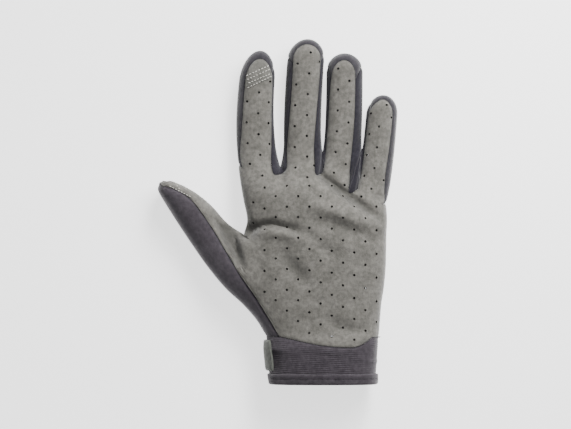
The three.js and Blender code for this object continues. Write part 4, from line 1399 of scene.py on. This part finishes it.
@dataclass
class Panel:
    """One sewn panel: a closed wall cut from the skin, drawn back and rolled in along its seams."""

    piece: str
    slot: str
    finish: Finish
    proud: float = 0.0
    edge: float = -0.45
    roll: float = 1.5
    wall: float = S.wall
    pucker: float = 0.12
    floor_wall: float = 0.3

    def build(self, skin: Skin) -> bpy.types.Object:
        """Return the panel's object with its wall, attributes and material.

        Args:
            skin: The shared skin of the glove.

        Returns:
            The panel's object.
        """
        faces = skin.faces[self.piece]
        ids = sorted({i for f in faces for i in f})
        number = {k: i for i, k in enumerate(ids)}
        outer = skin.co[ids].copy()
        normals = skin.normals[ids]
        rim = self.rim_edges(faces)
        self.draw_back(skin, rim, number, outer)
        near = self.seam_distance(rim, number, outer)
        offset = self.edge + (self.proud - self.edge) * (1 - np.exp(-(near / self.roll) ** 2))
        offset += self.extra(outer, near)
        outer += normals * offset[:, None]
        outer[:, 2] = np.maximum(outer[:, 2], 0)
        inner = outer - normals * self.wall
        inner[:, 2] = np.maximum(inner[:, 2], outer[:, 2].min() + self.floor_wall)
        count = len(ids)
        shell = [tuple(number[i] for i in f) for f in faces]
        shell += [tuple(number[i] + count for i in reversed(f)) for f in faces]
        for a, b in rim:
            i, j = number[a], number[b]
            shell.append((j, i, i + count, j + count))
        mesh = mesh_of(self.piece + "_panel_mesh", np.vstack([outer, inner]), shell)
        self.mark(mesh, skin, outer, near)
        mesh.set_sharp_from_angle(angle=math.radians(50))
        mesh.materials.append(self.finish.build())
        return new_object(self.piece + "_cloth", mesh)

    def extra(self, outer: np.ndarray, near: np.ndarray) -> np.ndarray:
        """Return small puckers along the seams."""
        wave = np.sin(outer[:, 0] * 1.9 + 1.3 * np.sin(outer[:, 1] * 0.7)) * np.sin(outer[:, 1] * 1.7)
        return self.pucker * wave * np.exp(-(near / 2.5) ** 2) * (near > 0.3)

    @staticmethod
    def rim_edges(faces: list[tuple[int, ...]]) -> list[tuple[int, int]]:
        """Return the directed edges that only one face uses.

        Args:
            faces: The faces as rings of point numbers.

        Returns:
            The edges, sorted.
        """
        edges = set()
        for ring in faces:
            for a, b in zip(ring, ring[1:] + ring[:1]):
                if (b, a) in edges:
                    edges.discard((b, a))
                else:
                    edges.add((a, b))
        return sorted(edges)

    @staticmethod
    def draw_back(skin: Skin, rim: list, number: dict, outer: np.ndarray) -> None:
        """Move the rim's points back from the seam by half the gap.

        Args:
            skin: The shared skin of the glove.
            rim: The directed edges of the panel's rim.
            number: The panel's own number of each point of the skin.
            outer: The outer points in millimetres.
        """
        inward = np.zeros_like(outer)
        for a, b in rim:
            along = skin.co[b] - skin.co[a]
            length = np.linalg.norm(along)
            if length < 1e-6:
                continue
            for k in (a, b):
                inward[number[k]] += np.cross(skin.normals[k], along / length)
        size = np.linalg.norm(inward, axis=1, keepdims=True)
        outer += inward / np.maximum(size, 1e-9) * np.minimum(size, 1) * S.seam_gap / 2

    @staticmethod
    def seam_distance(rim: list, number: dict, outer: np.ndarray) -> np.ndarray:
        """Return how far each point lies from the panel's nearest seam.

        Args:
            rim: The directed edges of the panel's rim.
            number: The panel's own number of each point of the skin.
            outer: The outer points in millimetres.

        Returns:
            The distances in millimetres.
        """
        tree = KDTree(len(rim))
        for n, (a, _) in enumerate(rim):
            tree.insert(outer[number[a]], n)
        tree.balance()
        return np.array([tree.find(point)[2] for point in outer])

    def mark(self, mesh: bpy.types.Mesh, skin: Skin, outer: np.ndarray, near: np.ndarray) -> None:
        """Store the painted shade by how near each point lies to a seam and how deep it lies in a fold.

        Args:
            mesh: The mesh to mark.
            skin: The shared skin of the glove.
            outer: The outer points in millimetres.
            near: How far each point lies from a seam.
        """
        fold_shade = np.zeros(len(outer))
        if self.piece == "palm_panel":
            fold_shade = np.array([skin.relief.fold_depth(p[0], p[1]) for p in outer]) / 3.5
        for name, values in (("painted_shade", np.exp(-(near / 0.9) ** 2)), ("fold_shade", np.clip(fold_shade, 0, 1))):
            attribute = mesh.attributes.new(name, "FLOAT", "POINT")
            attribute.data.foreach_set("value", np.tile(values, 2).astype(np.float32))


@dataclass
class RibbedCuff(Panel):
    """The cuff's tube, with fine ribs across it and a dent beside the strap's end."""

    rib_pitch: float = 1.25
    rib_height: float = 0.1
    rib_fade: float = 1.2
    dent: Point2 = (-25.5, -14.0)
    dent_size: Point2 = (4.0, 7.0)
    dent_depth: float = 1.0
    sag_y: float = -9.0
    sag_slope: float = 0.12
    sag_width: float = 1.6
    sag_depth: float = 0.35
    slant: float = 0.045

    def extra(self, outer: np.ndarray, near: np.ndarray) -> np.ndarray:
        """Return the ribs' height and the dent's depth at each point.

        Args:
            outer: The outer points in millimetres.
            near: How far each point lies from a seam.

        Returns:
            The offsets in millimetres.
        """
        phase = (outer[:, 1] + self.slant * outer[:, 0]) / self.rib_pitch
        ribs = self.rib_height * (np.cos(2 * np.pi * phase) - 1) * (1 - np.exp(-(near / self.rib_fade) ** 2))
        palm_side = outer[:, 2] > S.cuff_thickness * 0.5
        dent_x = (outer[:, 0] - self.dent[0]) / self.dent_size[0]
        dent_y = (outer[:, 1] - self.dent[1]) / self.dent_size[1]
        dent = -self.dent_depth * np.exp(-dent_x ** 2 - dent_y ** 4)
        sag_line = outer[:, 1] - self.sag_y + self.sag_slope * outer[:, 0]
        wave = np.sin(outer[:, 0] * 0.09 + 1)
        sag = -self.sag_depth * np.exp(-(sag_line / self.sag_width) ** 2) * wave
        return ribs + (dent + sag) * palm_side


class GeometryTree:
    """A geometry node tree with named inputs, run once on an object."""

    def __init__(self, name: str) -> None:
        """Start a tree that takes and gives one geometry.

        Args:
            name: The name to give.
        """
        self.tree = bpy.data.node_groups.new(name, "GeometryNodeTree")
        self.tree.interface.new_socket("Geometry", in_out="INPUT", socket_type="NodeSocketGeometry")
        self.tree.interface.new_socket("Geometry", in_out="OUTPUT", socket_type="NodeSocketGeometry")
        self.identifiers: dict[str, str] = {}
        self.inputs = self.add("NodeGroupInput")
        self.output = self.add("NodeGroupOutput")

    def add(self, kind: str, **values: object) -> bpy.types.Node:
        """Add a node and set its properties and plain inputs.

        Args:
            kind: The node's type.
            values: The values by name.

        Returns:
            The new node.
        """
        node = self.tree.nodes.new(kind)
        for key, value in values.items():
            if hasattr(node, key):
                setattr(node, key, value)
            else:
                node.inputs[key.replace("_", " ").title()].default_value = value
        return node

    def named(self, name: str, kind: str) -> Socket:
        """Add a named input and return its socket inside the tree."""
        socket = self.tree.interface.new_socket(name, in_out="INPUT", socket_type=kind)
        self.identifiers[name] = socket.identifier
        return self.inputs.outputs[name]

    def link(self, a: Socket, b: Socket) -> None:
        """Link an output to an input."""
        self.tree.links.new(a, b)

    def finish(self, geometry: Socket, material: bpy.types.Material | None) -> None:
        """End the tree in realized instances and, where one is given, a material.

        Args:
            geometry: The tree's last geometry.
            material: The material to set, if any.
        """
        realize = self.add("GeometryNodeRealizeInstances")
        self.link(geometry, realize.inputs["Geometry"])
        last = realize.outputs["Geometry"]
        if material:
            setter = self.add("GeometryNodeSetMaterial")
            setter.inputs["Material"].default_value = material
            self.link(last, setter.inputs["Geometry"])
            last = setter.outputs["Geometry"]
        self.link(last, self.output.inputs["Geometry"])

    def run(self, obj: bpy.types.Object, values: dict, name: str) -> bpy.types.Mesh:
        """Run the tree on an object and return its result as a plain mesh.

        Args:
            obj: The piece's object.
            values: The values by name.
            name: The name to give.

        Returns:
            The mesh that the tree gives.
        """
        modifier = obj.modifiers.new("rule", "NODES")
        modifier.node_group = self.tree
        for key, value in values.items():
            modifier[self.identifiers[key]] = value
        bpy.context.view_layer.update()
        graph = bpy.context.evaluated_depsgraph_get()
        mesh = bpy.data.meshes.new_from_object(obj.evaluated_get(graph))
        mesh.name = name
        obj.modifiers.remove(modifier)
        return mesh


@dataclass
class StitchRun:
    """A row of thread stitches along a line on the surface."""

    name: str
    lines: list[np.ndarray]
    pitch: float
    length: float
    radius: float
    finish: Finish
    slot: str

    def build(self) -> bpy.types.Object:
        """Return the stitches as one plain mesh.

        Returns:
            The stitches' object.
        """
        points, edges = [], []
        for line in self.lines:
            start = len(points)
            points += list(line)
            edges += [(start + i, start + i + 1) for i in range(len(line) - 1)]
        guide_mesh = bpy.data.meshes.new(self.name + "_guide")
        guide_mesh.from_pydata(to_frame(np.array(points)).tolist(), edges, [])
        guide = new_object(self.name + "_guide", guide_mesh)
        tree = self.tree()
        mesh = tree.run(guide, {"Pitch": self.pitch * MILLIMETRE, "Length": self.length * MILLIMETRE,
                                "Radius": self.radius * MILLIMETRE}, self.name)
        bpy.data.objects.remove(guide)
        mesh.polygons.foreach_set("use_smooth", [True] * len(mesh.polygons))
        obj = new_object(self.name, mesh)
        settle_piece(obj, self.slot)
        return obj

    def tree(self) -> GeometryTree:
        """Return the tree that lays a stitch at each pitch along the guide.

        Returns:
            The finished tree.
        """
        t = GeometryTree(self.name + "_rule")
        pitch, length, radius = (t.named(n, "NodeSocketFloat") for n in ("Pitch", "Length", "Radius"))
        curve = t.add("GeometryNodeMeshToCurve")
        t.link(t.inputs.outputs["Geometry"], curve.inputs["Mesh"])
        even = t.add("GeometryNodeResampleCurve")
        even.mode = "LENGTH"
        t.link(curve.outputs["Curve"], even.inputs["Curve"])
        t.link(pitch, even.inputs["Length"])
        ball = t.add("GeometryNodeMeshUVSphere")
        ball.inputs["Segments"].default_value = 8
        ball.inputs["Rings"].default_value = 6
        t.link(radius, ball.inputs["Radius"])
        ratio = t.add("ShaderNodeMath")
        ratio.operation = "DIVIDE"
        t.link(length, ratio.inputs[0])
        double = t.add("ShaderNodeMath")
        double.operation = "MULTIPLY"
        double.inputs[1].default_value = 2.0
        t.link(radius, double.inputs[0])
        t.link(double.outputs[0], ratio.inputs[1])
        scale = t.add("ShaderNodeCombineXYZ")
        scale.inputs["X"].default_value = 1.0
        scale.inputs["Y"].default_value = 0.8
        t.link(ratio.outputs[0], scale.inputs["Z"])
        tangent = t.add("GeometryNodeInputTangent")
        turn = t.add("FunctionNodeAlignRotationToVector")
        turn.axis = "Z"
        t.link(tangent.outputs["Tangent"], turn.inputs["Vector"])
        place = t.add("GeometryNodeInstanceOnPoints")
        t.link(even.outputs["Curve"], place.inputs["Points"])
        t.link(ball.outputs["Mesh"], place.inputs["Instance"])
        t.link(turn.outputs["Rotation"], place.inputs["Rotation"])
        t.link(scale.outputs["Vector"], place.inputs["Scale"])
        t.finish(place.outputs["Instances"], self.finish.build())
        return t


@dataclass
class Perforations:
    """The holes punched through the suede: staggered rows over the palm and down each finger."""

    radius: float = 0.8
    column_pitch: float = 7.33
    row_pitch: float = 6.8
    finger_pitch: float = 13.67
    start: Point2 = (-10.46, 101.23)
    first_rows_end: tuple[float, float] = (14.0, 19.0)
    rows: int = 15
    columns: range = range(-6, 9)
    right_sag: float = 5.5
    left_sag: float = 6.5
    # Each row down a finger: finger, offset from its middle, height of the first hole, holes.
    finger_rows: tuple = ((0, 2.0, 162.6, 5), (0, -5.5, 156.7, 4), (0, 8.7, 169.9, 5),
                          (1, 2.8, 188.8, 7), (1, -5.1, 181.5, 6), (1, 9.0, 182.9, 1), (1, 7.2, 114.8, 1),
                          (2, -4.3, 178.2, 6), (2, 3.0, 170.2, 6),
                          (3, -7.2, 148.9, 5), (3, -1.3, 140.3, 4), (3, 6.4, 146.2, 1), (3, 2.6, 154.4, 1),
                          (3, 6.0, 105.0, 1))

    def places(self) -> list[Point2]:
        """Return the places of all holes in the hand's frame.

        Returns:
            The places in millimetres.
        """
        out = []
        for finger, across, first, count in self.finger_rows:
            for i in range(count):
                y = first - i * self.finger_pitch
                out.append((Outline.axis(FINGERS[finger], y) + across, y))
        for row in range(self.rows):
            for column in self.columns:
                if (row + column) % 2 == 0:
                    continue
                x = self.start[0] + column * self.column_pitch
                y = self.start[1] - row * self.row_pitch
                y -= self.right_sag * clamp((x + 10.5) / 37, 0, 1.4) * clamp((row - 2) / 8, 0, 1)
                y -= self.left_sag * clamp((-29 - x) / 18, 0, 1)
                beside_ring = row < 2 and x > self.first_rows_end[row]
                if self.on_suede(x, y) and not beside_ring:
                    out.append((x, y))
        return out

    @staticmethod
    def on_suede(x: float, y: float) -> bool:
        """Tell whether a hole lies on the palm clear of its seams and of the bare thumb strip.

        Args:
            x: The place across the hand in millimetres.
            y: The place along the hand in millimetres.

        Returns:
            True where a hole may be punched.
        """
        along = clamp(y / S.palm_length, 0.0, 1.05)
        left, right = Outline.edge(LEFT, along)[0], Outline.edge(RIGHT, along)[0]
        reach, off = Outline.thumb_place(x, y)
        clear_of_thumb = off > 1.12 or (reach < 0.3 and off > 0.62)
        floor = -Outline.seam_drop(clamp((x + 32) / 74, 0, 1)) + 3.5
        return left + 3 < x < right - 2.2 and floor < y and clear_of_thumb

    def tree(self) -> GeometryTree:
        """Return the tree that cuts a round punch out of the suede at each place.

        Returns:
            The finished tree.
        """
        t = GeometryTree("perforation_rule")
        radius = t.named("Radius", "NodeSocketFloat")
        places = t.named("Places", "NodeSocketObject")
        info = t.add("GeometryNodeObjectInfo")
        t.link(places, info.inputs["Object"])
        punch = t.add("GeometryNodeMeshCylinder")
        punch.inputs["Vertices"].default_value = 12
        punch.inputs["Depth"].default_value = 6 * MILLIMETRE
        t.link(radius, punch.inputs["Radius"])
        facing = t.add("GeometryNodeInputNamedAttribute", data_type="FLOAT_VECTOR")
        facing.inputs["Name"].default_value = "facing"
        turn = t.add("FunctionNodeAlignRotationToVector")
        turn.axis = "Z"
        t.link(facing.outputs["Attribute"], turn.inputs["Vector"])
        stamp = t.add("GeometryNodeInstanceOnPoints")
        t.link(info.outputs["Geometry"], stamp.inputs["Points"])
        # Painted shade: each punch gives the holes' walls the near-black finish.
        dark = t.add("GeometryNodeSetMaterial")
        dark.inputs["Material"].default_value = HOLE_SHADE.build()
        t.link(punch.outputs["Mesh"], dark.inputs["Geometry"])
        t.link(dark.outputs["Geometry"], stamp.inputs["Instance"])
        t.link(turn.outputs["Rotation"], stamp.inputs["Rotation"])
        real = t.add("GeometryNodeRealizeInstances")
        t.link(stamp.outputs["Instances"], real.inputs["Geometry"])
        cut = t.add("GeometryNodeMeshBoolean")
        cut.operation = "DIFFERENCE"
        cut.solver = "MANIFOLD"
        t.link(t.inputs.outputs["Geometry"], cut.inputs["Mesh 1"])
        t.link(real.outputs["Geometry"], cut.inputs["Mesh 2"])
        t.finish(cut.outputs["Mesh"], None)
        return t

    def cut(self, suede: bpy.types.Object, skin: Skin) -> None:
        """Punch the holes through the suede's mesh.

        Args:
            suede: The suede panel's object.
            skin: The shared skin of the glove.
        """
        places = self.places()
        tops = np.array([(x, y, skin.relief.height(x, y, Layer.PALM)) for x, y in places])
        facing = np.array([surface_normal(skin, x, y) for x, y in places])
        mesh = bpy.data.meshes.new("punch_places")
        mesh.from_pydata(to_frame(tops).tolist(), [], [])
        mesh.attributes.new("facing", "FLOAT_VECTOR", "POINT").data.foreach_set("vector", facing.ravel())
        marks = new_object("punch_places", mesh)
        tree = self.tree()
        result = tree.run(suede, {"Radius": self.radius * MILLIMETRE, "Places": marks}, "palm_punched")
        LOG.info("holes: %d, faces %d to %d", len(places), len(suede.data.polygons), len(result.polygons))
        LOG.info("hole materials: %s", [m.name for m in result.materials if m])
        result.polygons.foreach_set("use_smooth", [True] * len(result.polygons))
        result.set_sharp_from_angle(angle=math.radians(50))
        suede.data = result
        bpy.data.objects.remove(marks)


def surface_normal(skin: Skin, x: float, y: float) -> np.ndarray:
    """Return the outward normal of the palm side at a place.

    Args:
        skin: The shared skin of the glove.
        x: The place across the hand in millimetres.
        y: The place along the hand in millimetres.

    Returns:
        The outward unit vector.
    """
    step = 0.8
    dx = skin.relief.height(x + step, y, Layer.PALM) - skin.relief.height(x - step, y, Layer.PALM)
    dy = skin.relief.height(x, y + step, Layer.PALM) - skin.relief.height(x, y - step, Layer.PALM)
    normal = np.array([-dx, -dy, 2 * step])
    return normal / np.linalg.norm(normal)


def on_surface(skin: Skin, x: float, y: float, out: float) -> np.ndarray:
    """Return the point a distance out from the palm side at a place."""
    return np.array([x, y, skin.relief.height(x, y, Layer.PALM)]) + out * surface_normal(skin, x, y)


@dataclass
class IndexPatch:
    """The extra piece of suede over the index fingertip, with its rows of touch thread."""

    out: float = 0.45
    thickness: float = 0.7
    low: float = 165.5
    rise: float = 6.0
    rows: tuple = (((-43.7, 173.7), (-30.6, 179.8)), ((-43.2, 171.2), (-29.9, 177.5)),
                   ((-42.4, 168.9), (-29.9, 174.4)), ((-42.9, 165.9), (-28.9, 172.9)))

    def build(self, skin: Skin) -> bpy.types.Object:
        """Return the patch and add its stitches.

        Args:
            skin: The shared skin of the glove.

        Returns:
            The patch's object.
        """
        finger, web_left, web_right = FINGERS[0], WEBS[0], WEBS[1]
        rows, columns = 22, 14
        end = Outline.tip_y(finger) - finger.bare * hand_y(finger.length)
        points, near = [], []
        for j in range(rows + 1):
            v = ease_out(j / rows, 1.5) * 0.985
            for c in range(columns + 1):
                t = c / columns
                start = self.low + self.rise * t
                y = lerp(start, end - 0.5, v)
                s = clamp((y - hand_y(web_left.palm[1])) / (end - hand_y(web_left.palm[1])), 0, 1)
                s_right = clamp((y - hand_y(web_right.palm[1])) / (end - hand_y(web_right.palm[1])), 0, 1)
                left = Outline.finger_seam(finger, -1, web_left, s, Layer.PALM)[0] + 0.5
                right = Outline.finger_seam(finger, 1, web_right, s_right, Layer.PALM)[0] - 0.5
                x = lerp(left, right, t)
                edge = min(t, 1 - t) * (right - left)
                near.append(min(edge, y - start, 9))
                lift = self.out * (0.35 + 0.65 * (1 - math.exp(-(near[-1] / 0.5) ** 2)))
                points.append(on_surface(skin, x, y, lift))
        wide = columns + 1
        top = [(r * wide + c, r * wide + c + 1, (r + 1) * wide + c + 1, (r + 1) * wide + c)
               for r in range(rows) for c in range(columns)]
        outer = np.array(points)
        inner = outer - np.array([0, 0, self.thickness])
        count = len(outer)
        faces = top + [tuple(i + count for i in reversed(f)) for f in top]
        for a, b in Panel.rim_edges(top):
            faces.append((b, a, a + count, b + count))
        mesh = mesh_of("index_patch_mesh", np.vstack([outer, inner]), faces)
        # Painted shade: the patch darkens towards its edges.
        shade = np.tile(np.exp(-(np.array(near) / 0.6) ** 2), 2).astype(np.float32)
        for name, values in (("painted_shade", shade), ("fold_shade", shade * 0)):
            mesh.attributes.new(name, "FLOAT", "POINT").data.foreach_set("value", values)
        mesh.set_sharp_from_angle(angle=math.radians(50))
        mesh.materials.append(PATCH.build())
        patch = new_object("index_patch", mesh)
        settle_piece(patch, "suede")
        lines = [np.array([on_surface(skin, lerp(a[0], b[0], t), lerp(a[1], b[1], t), self.out + 0.12)
                           for t in np.linspace(0, 1, 12)]) for a, b in self.rows]
        StitchRun("index_touch_stitches", lines, 2.0, 1.5, 0.36, WHITE_THREAD, "suede").build()
        return patch


@dataclass
class ThumbStitches:
    """The two short rows of touch thread on the suede at the thumb's tip."""

    lift: float = 0.1
    rows: tuple = (((-94.1, 100.8), (-81.6, 94.3)), ((-91.7, 103.7), (-88.6, 99.6)))

    def build(self, skin: Skin) -> bpy.types.Object:
        """Return the stitches as one piece."""
        lines = [np.array([on_surface(skin, lerp(a[0], b[0], t), lerp(a[1], b[1], t), self.lift)
                           for t in np.linspace(0, 1, 9)]) for a, b in self.rows]
        return StitchRun("thumb_touch_stitches", lines, 2.0, 1.3, 0.34, WHITE_THREAD, "suede").build()


@dataclass
class Hem:
    """The binding folded over the open end of the cuff, with its seam and its stitches."""

    width: float = S.hem_width
    steps: int = 7

    def build(self, skin: Skin) -> bpy.types.Object:
        """Return the hem as one closed band and add its stitches.

        Args:
            skin: The shared skin of the glove.

        Returns:
            The binding's object.
        """
        top, end = self.ring(skin, F.cuff_rows), self.ring(skin, F.cuff_rows + F.hem_rows)
        out, back = S.hem_wall + S.seam_gap, S.wall + S.seam_gap + S.hem_wall
        profile = self.profile(out, back)
        points, count = [], len(top)
        for i, (a, b) in enumerate(zip(top, end)):
            normal = skin.normals[b].copy()
            normal[1] = 0
            normal /= max(np.linalg.norm(normal), 1e-9)
            for share, offset, drop in profile:
                base = lerp(skin.co[a], skin.co[b], share)
                wave = 0.12 * math.sin(i * 0.55) * (0.2 < share < 1)
                point = base + normal * (offset + wave) + np.array([0, -drop, 0])
                point[2] = max(point[2], 0)
                points.append(point)
        size = len(profile)
        faces = []
        for i in range(count):
            for k in range(size):
                m, n = (i + 1) % count, (k + 1) % size
                faces.append((i * size + k, i * size + n, m * size + n, m * size + k))
        mesh = mesh_of("cuff_hem_mesh", np.array(points), faces)
        # Painted shade: a dark line where the binding meets the cuff and another round its folded lower edge.
        near = np.tile([1.0 if k in (0, size // 2) else 0.0 for k in range(size)], count).astype(np.float32)
        for name, values in (("painted_shade", near), ("fold_shade", near * 0)):
            mesh.attributes.new(name, "FLOAT", "POINT").data.foreach_set("value", values)
        mesh.materials.append(BINDING.build())
        hem = new_object("cuff_hem_binding", mesh)
        settle_piece(hem, "binding_fabric", "cuff_hem")
        self.stitch(skin, top, end, out)
        return hem

    def profile(self, out: float, back: float) -> list[tuple[float, float, float]]:
        """Return the hem's section as share along it, offset from the skin and drop past its end.

        Args:
            out: How far the binding stands out.
            back: How far it reaches back.

        Returns:
            The points of the section.
        """
        face = [(0.0, 0.1, 0.0), (0.03, out - 0.35, 0.0), (0.12, out, 0.0), (0.4, out + 0.1, 0.0),
                (0.5, out - 0.22, 0.0), (0.62, out + 0.1, 0.0), (0.95, out, 0.0)]
        middle, radius = (out - back) / 2, (out + back) / 2
        turn = [(1.0, middle + radius * math.cos(a), 0.9 * math.sin(a))
                for a in np.linspace(0.15, math.pi - 0.15, self.steps)]
        inside = [(0.9, -back, 0.0), (0.45, -back - 0.1, 0.0), (0.06, -back + 0.2, 0.0),
                  (0.0, -(S.wall + 0.1), 0.0)]
        return face + turn + inside

    @staticmethod
    def ring(skin: Skin, q: int) -> list[int]:
        """Return the loop of skin points round one row of the cuff.

        Args:
            skin: The shared skin of the glove.
            q: The number of the row down the cuff.

        Returns:
            The numbers in order.
        """
        last = F.cuff_rows + F.hem_rows
        left, right = skin.rings[last - q], skin.rings[q - last - 1]
        over = skin.sheets[Layer.PALM].cuff[q][1:-1]
        under = skin.sheets[Layer.BACK].cuff[q][1:-1]
        return left[::-1] + over + right + under[::-1]

    @staticmethod
    def stitch(skin: Skin, top: list[int], end: list[int], out: float) -> None:
        """Add the dark stitches round the hem's channel.

        Args:
            skin: The shared skin of the glove.
            top: The binding's upper edge.
            end: The binding's lower edge.
            out: How far the binding stands out.
        """
        line = []
        for a, b in list(zip(top, end)) + [(top[0], end[0])]:
            normal = skin.normals[b].copy()
            normal[1] = 0
            normal /= max(np.linalg.norm(normal), 1e-9)
            line.append(lerp(skin.co[a], skin.co[b], 0.5) + normal * (out - 0.1))
        StitchRun("hem_stitches", [np.array(line)], 2.76, 1.6, 0.26, DARK_THREAD, "binding_fabric").build()


@dataclass
class Strap:
    """The strap across the back of the cuff, whose end wraps the thumb side."""

    span: float = 0.72
    rows: int = 14
    # Columns: share across the strap from the hand side, then how far its end reaches onto the palm side.
    end: tuple = ((0, 0.1), (0.15, 0.55), (0.4, 1.15), (0.6, 1.4), (0.85, 1.3), (1, 0.75))

    def build(self, skin: Skin) -> bpy.types.Object:
        """Return the strap as a closed wall with a rounded cut edge.

        Args:
            skin: The shared skin of the glove.

        Returns:
            The strap's object.
        """
        rings = [Hem.ring(skin, q) for q in range(F.cuff_rows + 1)]
        side = 2 * F.side_steps
        under = round(self.span * (len(skin.sheets[Layer.BACK].cuff[0]) - 2))
        total = len(rings[0])
        order = [total - i for i in range(under, 0, -1)] + list(range(side + 4))
        top = hand_y(CORNER) - S.strap_inset
        shares = [0.5 - 0.5 * math.cos(math.pi * k / self.rows) for k in range(self.rows + 1)]
        columns = []
        for n, index in enumerate(order):
            column = []
            for share in shares:
                reach = side - 1 + read([tuple(r) for r in self.end], 1, share) * 2.4
                place = min(n - under, reach)
                column.append(self.point(skin, rings, place, order, under, top - share * S.strap_width))
            columns.append(column)
        outer, inner = [], []
        for n, column in enumerate(columns):
            for share, (point, normal) in zip(shares, column):
                ends = min(1.0, n / 3)
                side_round = min(share, 1 - share) * S.strap_width
                round_off = 0.75 * (1 - min(1.0, (side_round / 1.1) ** 0.5)) + 0.6 * (1 - ends)
                outer.append(point + normal * (S.seam_gap + S.strap_thickness - round_off))
                inner.append(point + normal * S.seam_gap)
        outer, inner = np.array(outer), np.array(inner)
        outer[:, 2], inner[:, 2] = np.maximum(outer[:, 2], 0), np.maximum(inner[:, 2], 0.6)
        wide = len(shares)
        top_faces = [(r * wide + c, r * wide + c + 1, (r + 1) * wide + c + 1, (r + 1) * wide + c)
                     for r in range(len(columns) - 1) for c in range(wide - 1)]
        count = len(outer)
        faces = top_faces + [tuple(i + count for i in reversed(f)) for f in top_faces]
        faces += [(b, a, a + count, b + count) for a, b in Panel.rim_edges(top_faces)]
        mesh = mesh_of("closure_strap_mesh", np.vstack([outer, inner]), faces)
        # Painted shade: the strap's underside, against the cuff, is darkened.
        strap_underside = np.concatenate([np.zeros(count), np.ones(count)]).astype(np.float32)
        for name, values in (("painted_shade", strap_underside * 0.4), ("fold_shade", strap_underside * 0)):
            mesh.attributes.new(name, "FLOAT", "POINT").data.foreach_set("value", values)
        mesh.set_sharp_from_angle(angle=math.radians(45))
        mesh.materials.append(STRAP.build())
        strap = new_object("closure_strap_cloth", mesh)
        settle_piece(strap, "strap_suede", "closure_strap")
        return strap

    @staticmethod
    def point(skin: Skin, rings: list, place: float, order: list, under: int, y: float) -> tuple:
        """Return the skin's point and normal at a place round the cuff and a height along it.

        Args:
            skin: The shared skin of the glove.
            rings: The rings of point numbers round the cuff.
            place: The place round the ring.
            order: The numbers round the ring in order.
            under: How many places lie under the back.
            y: The height along the cuff in millimetres.

        Returns:
            The point and the normal.
        """
        low = int(math.floor(place)) + under
        high = min(low + 1, len(order) - 1)
        t = place - math.floor(place)
        parts = []
        for n in (low, high):
            line = [rings[q][order[n]] for q in range(len(rings))]
            heights = skin.co[line][:, 1]
            q = 0
            while q < len(line) - 2 and heights[q + 1] > y:
                q += 1
            share = clamp((y - heights[q]) / (heights[q + 1] - heights[q]), -1, 1)
            point = lerp(skin.co[line[q]], skin.co[line[q + 1]], share)
            normal = lerp(skin.normals[line[q]], skin.normals[line[q + 1]], clamp(share, 0, 1))
            normal = normal * np.array([1, 0, 1])
            parts.append((point, normal / max(np.linalg.norm(normal), 1e-9)))
        return lerp(parts[0][0], parts[1][0], t), lerp(parts[0][1], parts[1][1], t)


@dataclass
class Studio:
    """The pale floor, the soft lights and the camera straight above the glove."""

    width: float = 0.3752
    centre: tuple[float, float] = (0.0055, -0.0019)
    height: float = 2.4
    lights: tuple = (((0.45, 1.35, 0.8), 0.5, 32.0), ((0.26, 0.3, 0.36), 0.3, 3.4), ((0.0, 0.0, 2.0), 1.6, 5.0))

    def build(self) -> None:
        """Make the whole stage."""
        self.floor()
        for n, (place, size, power) in enumerate(self.lights):
            self.light(f"soft_light_{n + 1}", place, size, power)
        world = bpy.context.scene.world or bpy.data.worlds.new("studio")
        bpy.context.scene.world = world
        world.use_nodes = True
        background = world.node_tree.nodes.get("Background")
        background.inputs["Color"].default_value = (0.95, 0.97, 1.0, 1)
        background.inputs["Strength"].default_value = 0.25
        self.camera()

    def floor(self) -> None:
        """Make the floor that the glove lies on."""
        mesh = bpy.data.meshes.new("floor")
        r = 3.0
        mesh.from_pydata([(-r, -r, 0), (r, -r, 0), (r, r, 0), (-r, r, 0)], [], [(0, 1, 2, 3)])
        nodes = Nodes("pale_floor")
        nodes.shader.inputs["Base Color"].default_value = (0.93, 0.93, 0.93, 1)
        nodes.shader.inputs["Roughness"].default_value = 0.9
        nodes.shader.inputs["Emission Color"].default_value = (1, 1, 1, 1)
        nodes.shader.inputs["Emission Strength"].default_value = 1.6
        mesh.materials.append(nodes.material)
        new_object("floor", mesh)

    @staticmethod
    def light(name: str, place: tuple[float, float, float], size: float, power: float) -> None:
        """Add one square soft light that looks at the glove.

        Args:
            name: The name to give.
            place: The place round the ring.
            size: The size in metres.
            power: The power in watts.
        """
        data = bpy.data.lights.new(name, "AREA")
        data.size, data.energy = size, power
        lamp = bpy.data.objects.new(name, data)
        lamp.location = place
        lamp.rotation_euler = (-Vector(place)).to_track_quat("-Z", "Y").to_euler()
        bpy.context.scene.collection.objects.link(lamp)

    def camera(self) -> None:
        """Add the camera, far above the glove with a long lens."""
        data = bpy.data.cameras.new("camera")
        data.sensor_width = 36.0
        data.lens = data.sensor_width * (self.height - 0.015) / self.width
        camera = bpy.data.objects.new("camera", data)
        camera.location = (*self.centre, self.height)
        bpy.context.scene.collection.objects.link(camera)
        bpy.context.scene.camera = camera


PANELS = (
    Panel("back_panel", "stretch_fabric", STRETCH, 0.0, -0.5),
    *(Panel(name, "fourchette_fabric", SHADED_GUSSET, -0.15, -0.6) for name in FOURCHETTES),
    Panel("thumb_panel", "thumb_fabric", THUMB, 0.05, -0.5, 1.8),
    RibbedCuff("cuff", "rib_fabric", RIB, 0.0, -0.4, 1.2),
)


def main() -> None:
    """Build the glove piece by piece, then the stage."""
    skin = Skin()
    LOG.info("skin: %d points", len(skin.points))
    suede = Panel("palm_panel", "suede", SUEDE, 0.2, -0.3, 1.1).build(skin)
    Perforations().cut(suede, skin)
    settle_piece(suede, "suede", "palm_panel")
    for panel in PANELS:
        settle_piece(panel.build(skin), panel.slot, panel.piece)
    IndexPatch().build(skin)
    ThumbStitches().build(skin)
    Hem().build(skin)
    Strap().build(skin)
    Studio().build()
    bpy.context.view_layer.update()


if __name__ == "__main__":
    main()
